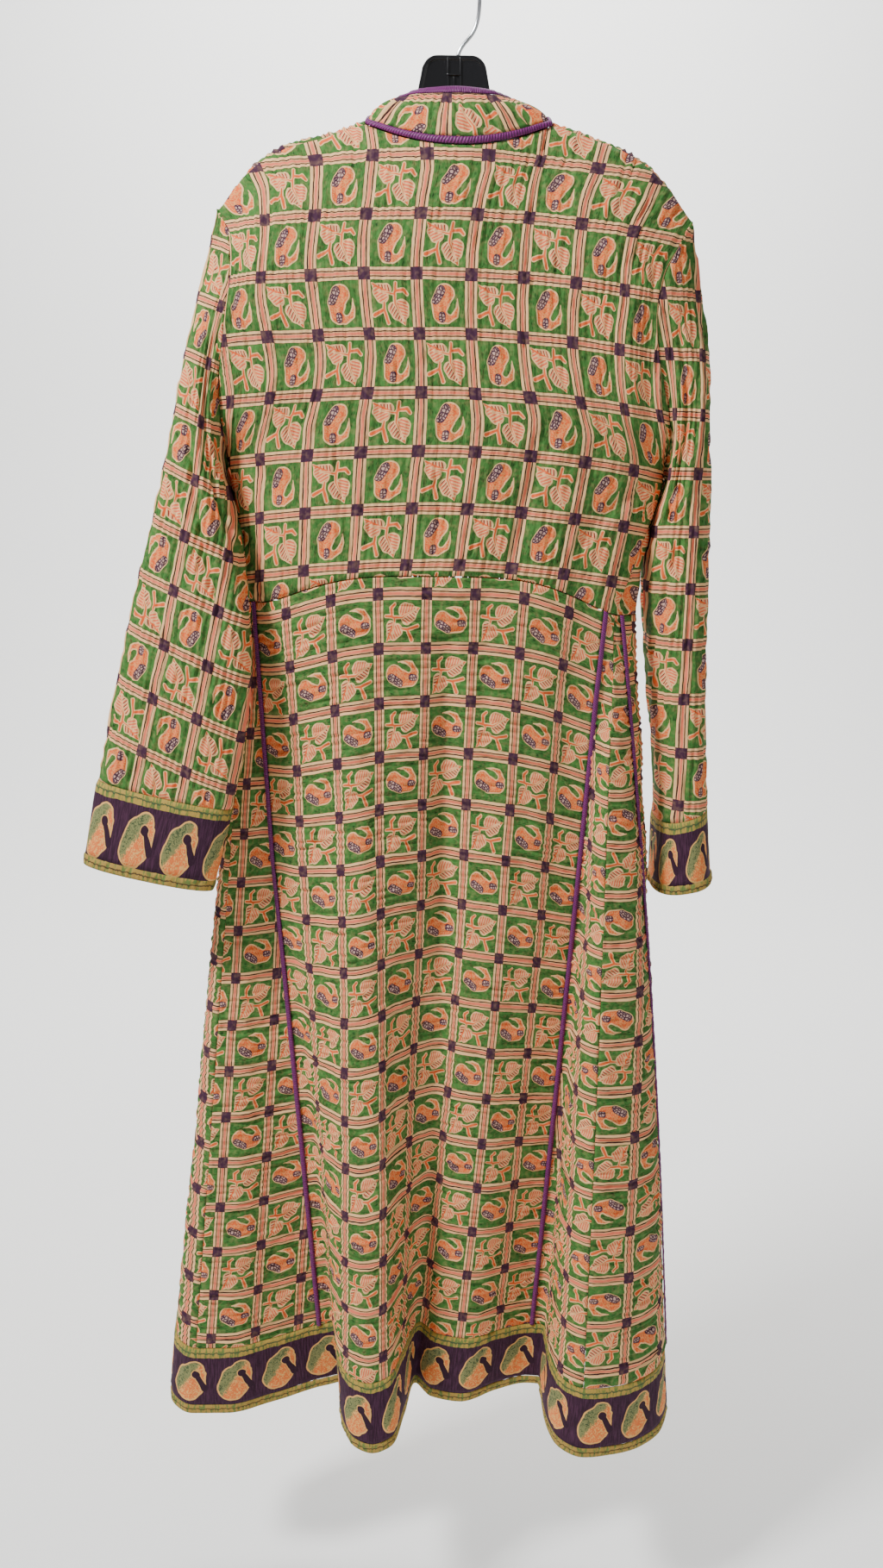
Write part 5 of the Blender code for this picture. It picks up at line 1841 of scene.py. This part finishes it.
@dataclass
class Hanger:
    """The moulded hanger with its ribbed head, and its wire hook, which is bent in smooth curves."""

    finishes: Finishes
    wire: float = 3.6 * MM
    bend: float = 21.8 * MM
    bend_z: float = -20.0 * MM
    stem: tuple[tuple[float, float], ...] = (
        (3.0, -81.0), (3.0, -78.0), (4.4, -73.0), (9.5, -66.5),
        (16.0, -60.0), (20.0, -51.0), (21.6, -41.0), (21.8, -30.0),
    )
    head_top: float = -79.6 * MM
    head_foot: float = -122.0 * MM
    head_top_half: float = 26.4 * MM
    head_foot_half: float = 35.0 * MM
    head_thick: float = 20.0 * MM
    head_round: float = 11.0 * MM
    edge_round: float = 0.9 * MM
    rim: float = 3.4 * MM
    rim_slope: float = 0.4 * MM
    sunk: float = 1.3 * MM
    bars: tuple[tuple[Spot, Spot], ...] = (
        ((-5.6, -9.3, -101.0), (2.0, 1.6, 40.0)),
        ((5.6, -9.3, -101.0), (2.0, 1.6, 40.0)),
        ((0.0, -9.6, -95.6), (13.0, 1.6, 1.8)),
        ((0.0, -9.4, -105.0), (1.8, 1.6, 16.0)),
        ((-5.6, 9.3, -101.0), (2.0, 1.6, 40.0)),
        ((5.6, 9.3, -101.0), (2.0, 1.6, 40.0)),
        ((0.0, 9.6, -95.6), (13.0, 1.6, 1.8)),
    )

    def head(self) -> bpy.types.Object:
        """The head: a rounded plate with a raised rim, sunk panels and ribs beside the channel."""
        plate = bmesh.new()
        bmesh.ops.create_grid(plate, x_segments=1, y_segments=1, size=1.0)
        for vertex in plate.verts:
            upper = vertex.co.y > 0
            half = self.head_top_half if upper else self.head_foot_half
            level = self.head_top if upper else self.head_foot
            vertex.co = (math.copysign(half, vertex.co.x), -self.head_thick / 2, level)
        half_way = (self.head_top + self.head_foot) / 2
        corners = [vertex for vertex in plate.verts if vertex.co.z > half_way]
        bmesh.ops.bevel(
            plate, geom=corners, offset=self.head_round, offset_type="OFFSET", segments=8, profile=0.5,
            affect="VERTICES", material=-1,
        )
        bmesh.ops.solidify(plate, geom=list(plate.faces), thickness=self.head_thick)
        bmesh.ops.recalc_face_normals(plate, faces=plate.faces)
        for side in (-1, 1):
            wide = max(plate.faces, key=lambda face: (face.normal.y * side > 0.9) * face.calc_area())
            bmesh.ops.inset_region(plate, faces=[wide], thickness=self.rim, use_even_offset=True)
            bmesh.ops.inset_region(
                plate, faces=[wide], thickness=self.rim_slope, depth=-self.sunk, use_even_offset=True
            )
        for middle, size in self.bars:
            scaled = Matrix.Diagonal((*(Vector(size) * MM), 1.0))
            place = Matrix.Translation(Vector(middle) * MM) @ scaled
            bmesh.ops.create_cube(plate, size=1.0, matrix=place)
        piece = smooth_mesh("hanger_head", plate, self.finishes.plastic)
        rounded = piece.modifiers.new("rounded", "BEVEL")
        rounded.width, rounded.segments, rounded.limit_method = self.edge_round, 3, "ANGLE"
        return piece

    def hook(self) -> bpy.types.Object:
        """The hook: up from the head, out to the right, and over the rail to the left."""
        line = bpy.data.curves.new("hook_line", "CURVE")
        line.dimensions = "3D"
        line.bevel_depth, line.bevel_resolution, line.use_fill_caps = self.wire / 2, 5, True
        points = [(x * MM, z * MM) for x, z in self.stem]
        for degrees in range(0, 201, 20):
            angle = math.radians(degrees)
            points.append((self.bend * math.cos(angle), self.bend * math.sin(angle) + self.bend_z))
        spline = line.splines.new("NURBS")
        spline.points.add(len(points) - 1)
        for point, (x, z) in zip(spline.points, points):
            point.co = (x, 0.0, z, 1.0)
        spline.use_endpoint_u, spline.order_u, spline.resolution_u = True, 4, 8
        bent = put_in_scene("hook_line", line)
        seen = bent.evaluated_get(bpy.context.evaluated_depsgraph_get())
        data = bpy.data.meshes.new_from_object(seen)
        bpy.data.objects.remove(bent)
        data.materials.clear()
        data.materials.append(self.finishes.steel)
        data.shade_smooth()
        return put_in_scene("hook_wire", data)

    def build(self) -> list[bpy.types.Object]:
        """Dresses the hanger's solid, and makes its head and hook."""
        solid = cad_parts["hanger"]
        solid.data.materials.clear()
        solid.data.materials.append(self.finishes.plastic)
        head = self.head()
        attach(head, "root")
        return [solid, head, hang(self.hook(), "hook")]


@dataclass
class Studio:
    """A pale floor that sweeps up behind, soft lights and the camera that took the picture."""

    floor_z: float = -1.66
    floor_half: float = 9.0
    sweep_from: float = 2.4
    sweep_radius: float = 1.6
    white: str = "#f8f8f6"
    camera_place: tuple[float, float, float] = (-0.003, -1.361, -0.4485)
    camera_down: float = 12.3
    camera_roll: float = 0.75
    camera_lens: float = 32.06
    room: float = 0.25
    middle: Spot = (0.0, 0.0, -0.75)
    chest: Spot = (0.0, 0.0, -0.35)
    wall: Spot = (0.0, 4.0, 0.2)
    lights: tuple[tuple[str, Spot, Spot, float, float], ...] = (
        ("key", (-1.5, -1.15, 1.35), chest, 0.5, 104.0),
        ("fill", (2.4, -2.2, 0.0), middle, 1.6, 10.0),
        ("back", (0.9, 1.6, 1.9), middle, 1.4, 26.0),
        ("backdrop", (0.0, 1.6, 2.2), wall, 2.0, 260.0),
    )

    def build_floor(self) -> None:
        """The floor, well below the robe, with its far side swept up as a wall."""
        plane = bmesh.new()
        bmesh.ops.create_grid(plane, x_segments=2, y_segments=72, size=self.floor_half)
        for vertex in plane.verts:
            over = max(0.0, vertex.co.y - self.sweep_from)
            angle = min(over / self.sweep_radius, math.pi / 2)
            wall = max(0.0, over - self.sweep_radius * math.pi / 2)
            vertex.co.y = min(vertex.co.y, self.sweep_from) + self.sweep_radius * math.sin(angle)
            vertex.co.z = self.floor_z + self.sweep_radius * (1 - math.cos(angle)) + wall
        draft = Draft("matt_white_floor")
        paint = draft.surface({"Base Color": linear(self.white), "Roughness": 0.9})
        smooth_mesh("floor", plane, paint)

    def build_lights(self) -> None:
        """Large soft lights, each with its own aim, in a dim even room."""
        for name, place, aim, size, power in self.lights:
            lamp = bpy.data.lights.new(name, "AREA")
            lamp.energy, lamp.size = power, size
            holder = put_in_scene(name, lamp)
            holder.location = place
            holder.rotation_euler = (Vector(aim) - Vector(place)).to_track_quat("-Z", "Y").to_euler()
        world = bpy.data.worlds.new("studio")
        world.use_nodes = True
        room = world.node_tree.nodes["Background"]
        room.inputs["Color"].default_value = linear("#ffffff")
        room.inputs["Strength"].default_value = self.room
        bpy.context.scene.world = world

    def build_camera(self) -> None:
        """The camera, a little above the robe's middle and looking down at its hem."""
        pitch, roll = math.radians(self.camera_down), math.radians(self.camera_roll)
        ahead = Vector((0, math.cos(pitch), -math.sin(pitch)))
        level_up = Vector((0, math.sin(pitch), math.cos(pitch)))
        up = (level_up * math.cos(roll) - Vector((1, 0, 0)) * math.sin(roll)).normalized()
        right = ahead.cross(up)
        data = bpy.data.cameras.new("camera")
        data.lens = self.camera_lens
        data.sensor_width = 36.0
        camera = put_in_scene("camera", data)
        turn = Matrix((right, up, -ahead)).transposed().to_4x4()
        camera.matrix_world = Matrix.Translation(self.camera_place) @ turn
        bpy.context.scene.camera = camera

    def build(self) -> None:
        """Builds the whole studio."""
        self.build_camera()
        self.build_lights()
        self.build_floor()


LEFT_CREASES = (
    Crease((0.72, 0.10), (0.93, 0.42), 0.010, -0.0040),
    Crease((0.62, 0.20), (0.88, 0.62), 0.009, -0.0035),
    Crease((0.66, 0.14), (0.86, 0.50), 0.012, 0.0028),
    Crease((0.55, 0.62), (0.80, 0.80), 0.010, -0.0025),
    Crease((0.10, 0.20), (0.35, 0.55), 0.011, -0.0030),
)
RIGHT_CREASES = (
    Crease((0.30, 0.08), (0.12, 0.38), 0.010, -0.0045),
    Crease((0.40, 0.12), (0.20, 0.50), 0.010, 0.0030),
    Crease((0.26, 0.40), (0.10, 0.66), 0.009, -0.0040),
    Crease((0.44, 0.05), (0.40, 0.60), 0.008, -0.0025),
    Crease((0.70, 0.20), (0.85, 0.55), 0.011, -0.0030),
)


def main() -> None:
    """Builds the studio and every part of the robe."""
    logging.basicConfig(level=logging.INFO, format="%(name)s %(message)s")
    Studio().build()
    finishes = Finishes.make()
    left = Sleeve(
        finishes, LEFT_SLEEVE, "left", Facing.DOWN, shift=(0.0122, -0.0054),
        right=(1.119, -0.255), down=(-0.412, -0.985), creases=LEFT_CREASES, slack=0.016,
    )
    right = Sleeve(
        finishes, RIGHT_SLEEVE, "right", Facing.UP, shift=(-0.0245, 0.0187),
        right=(1.0, -0.010), down=(0.0, -1.014), creases=RIGHT_CREASES, slack=0.015,
    )
    parts = (Bodice(finishes), left, right, Skirt(finishes), Collar(finishes), Hanger(finishes))
    for part in parts:
        made = part.build()
        log.info("%s: %d pieces", type(part).__name__, len(made))


if __name__ == "__main__":
    main()
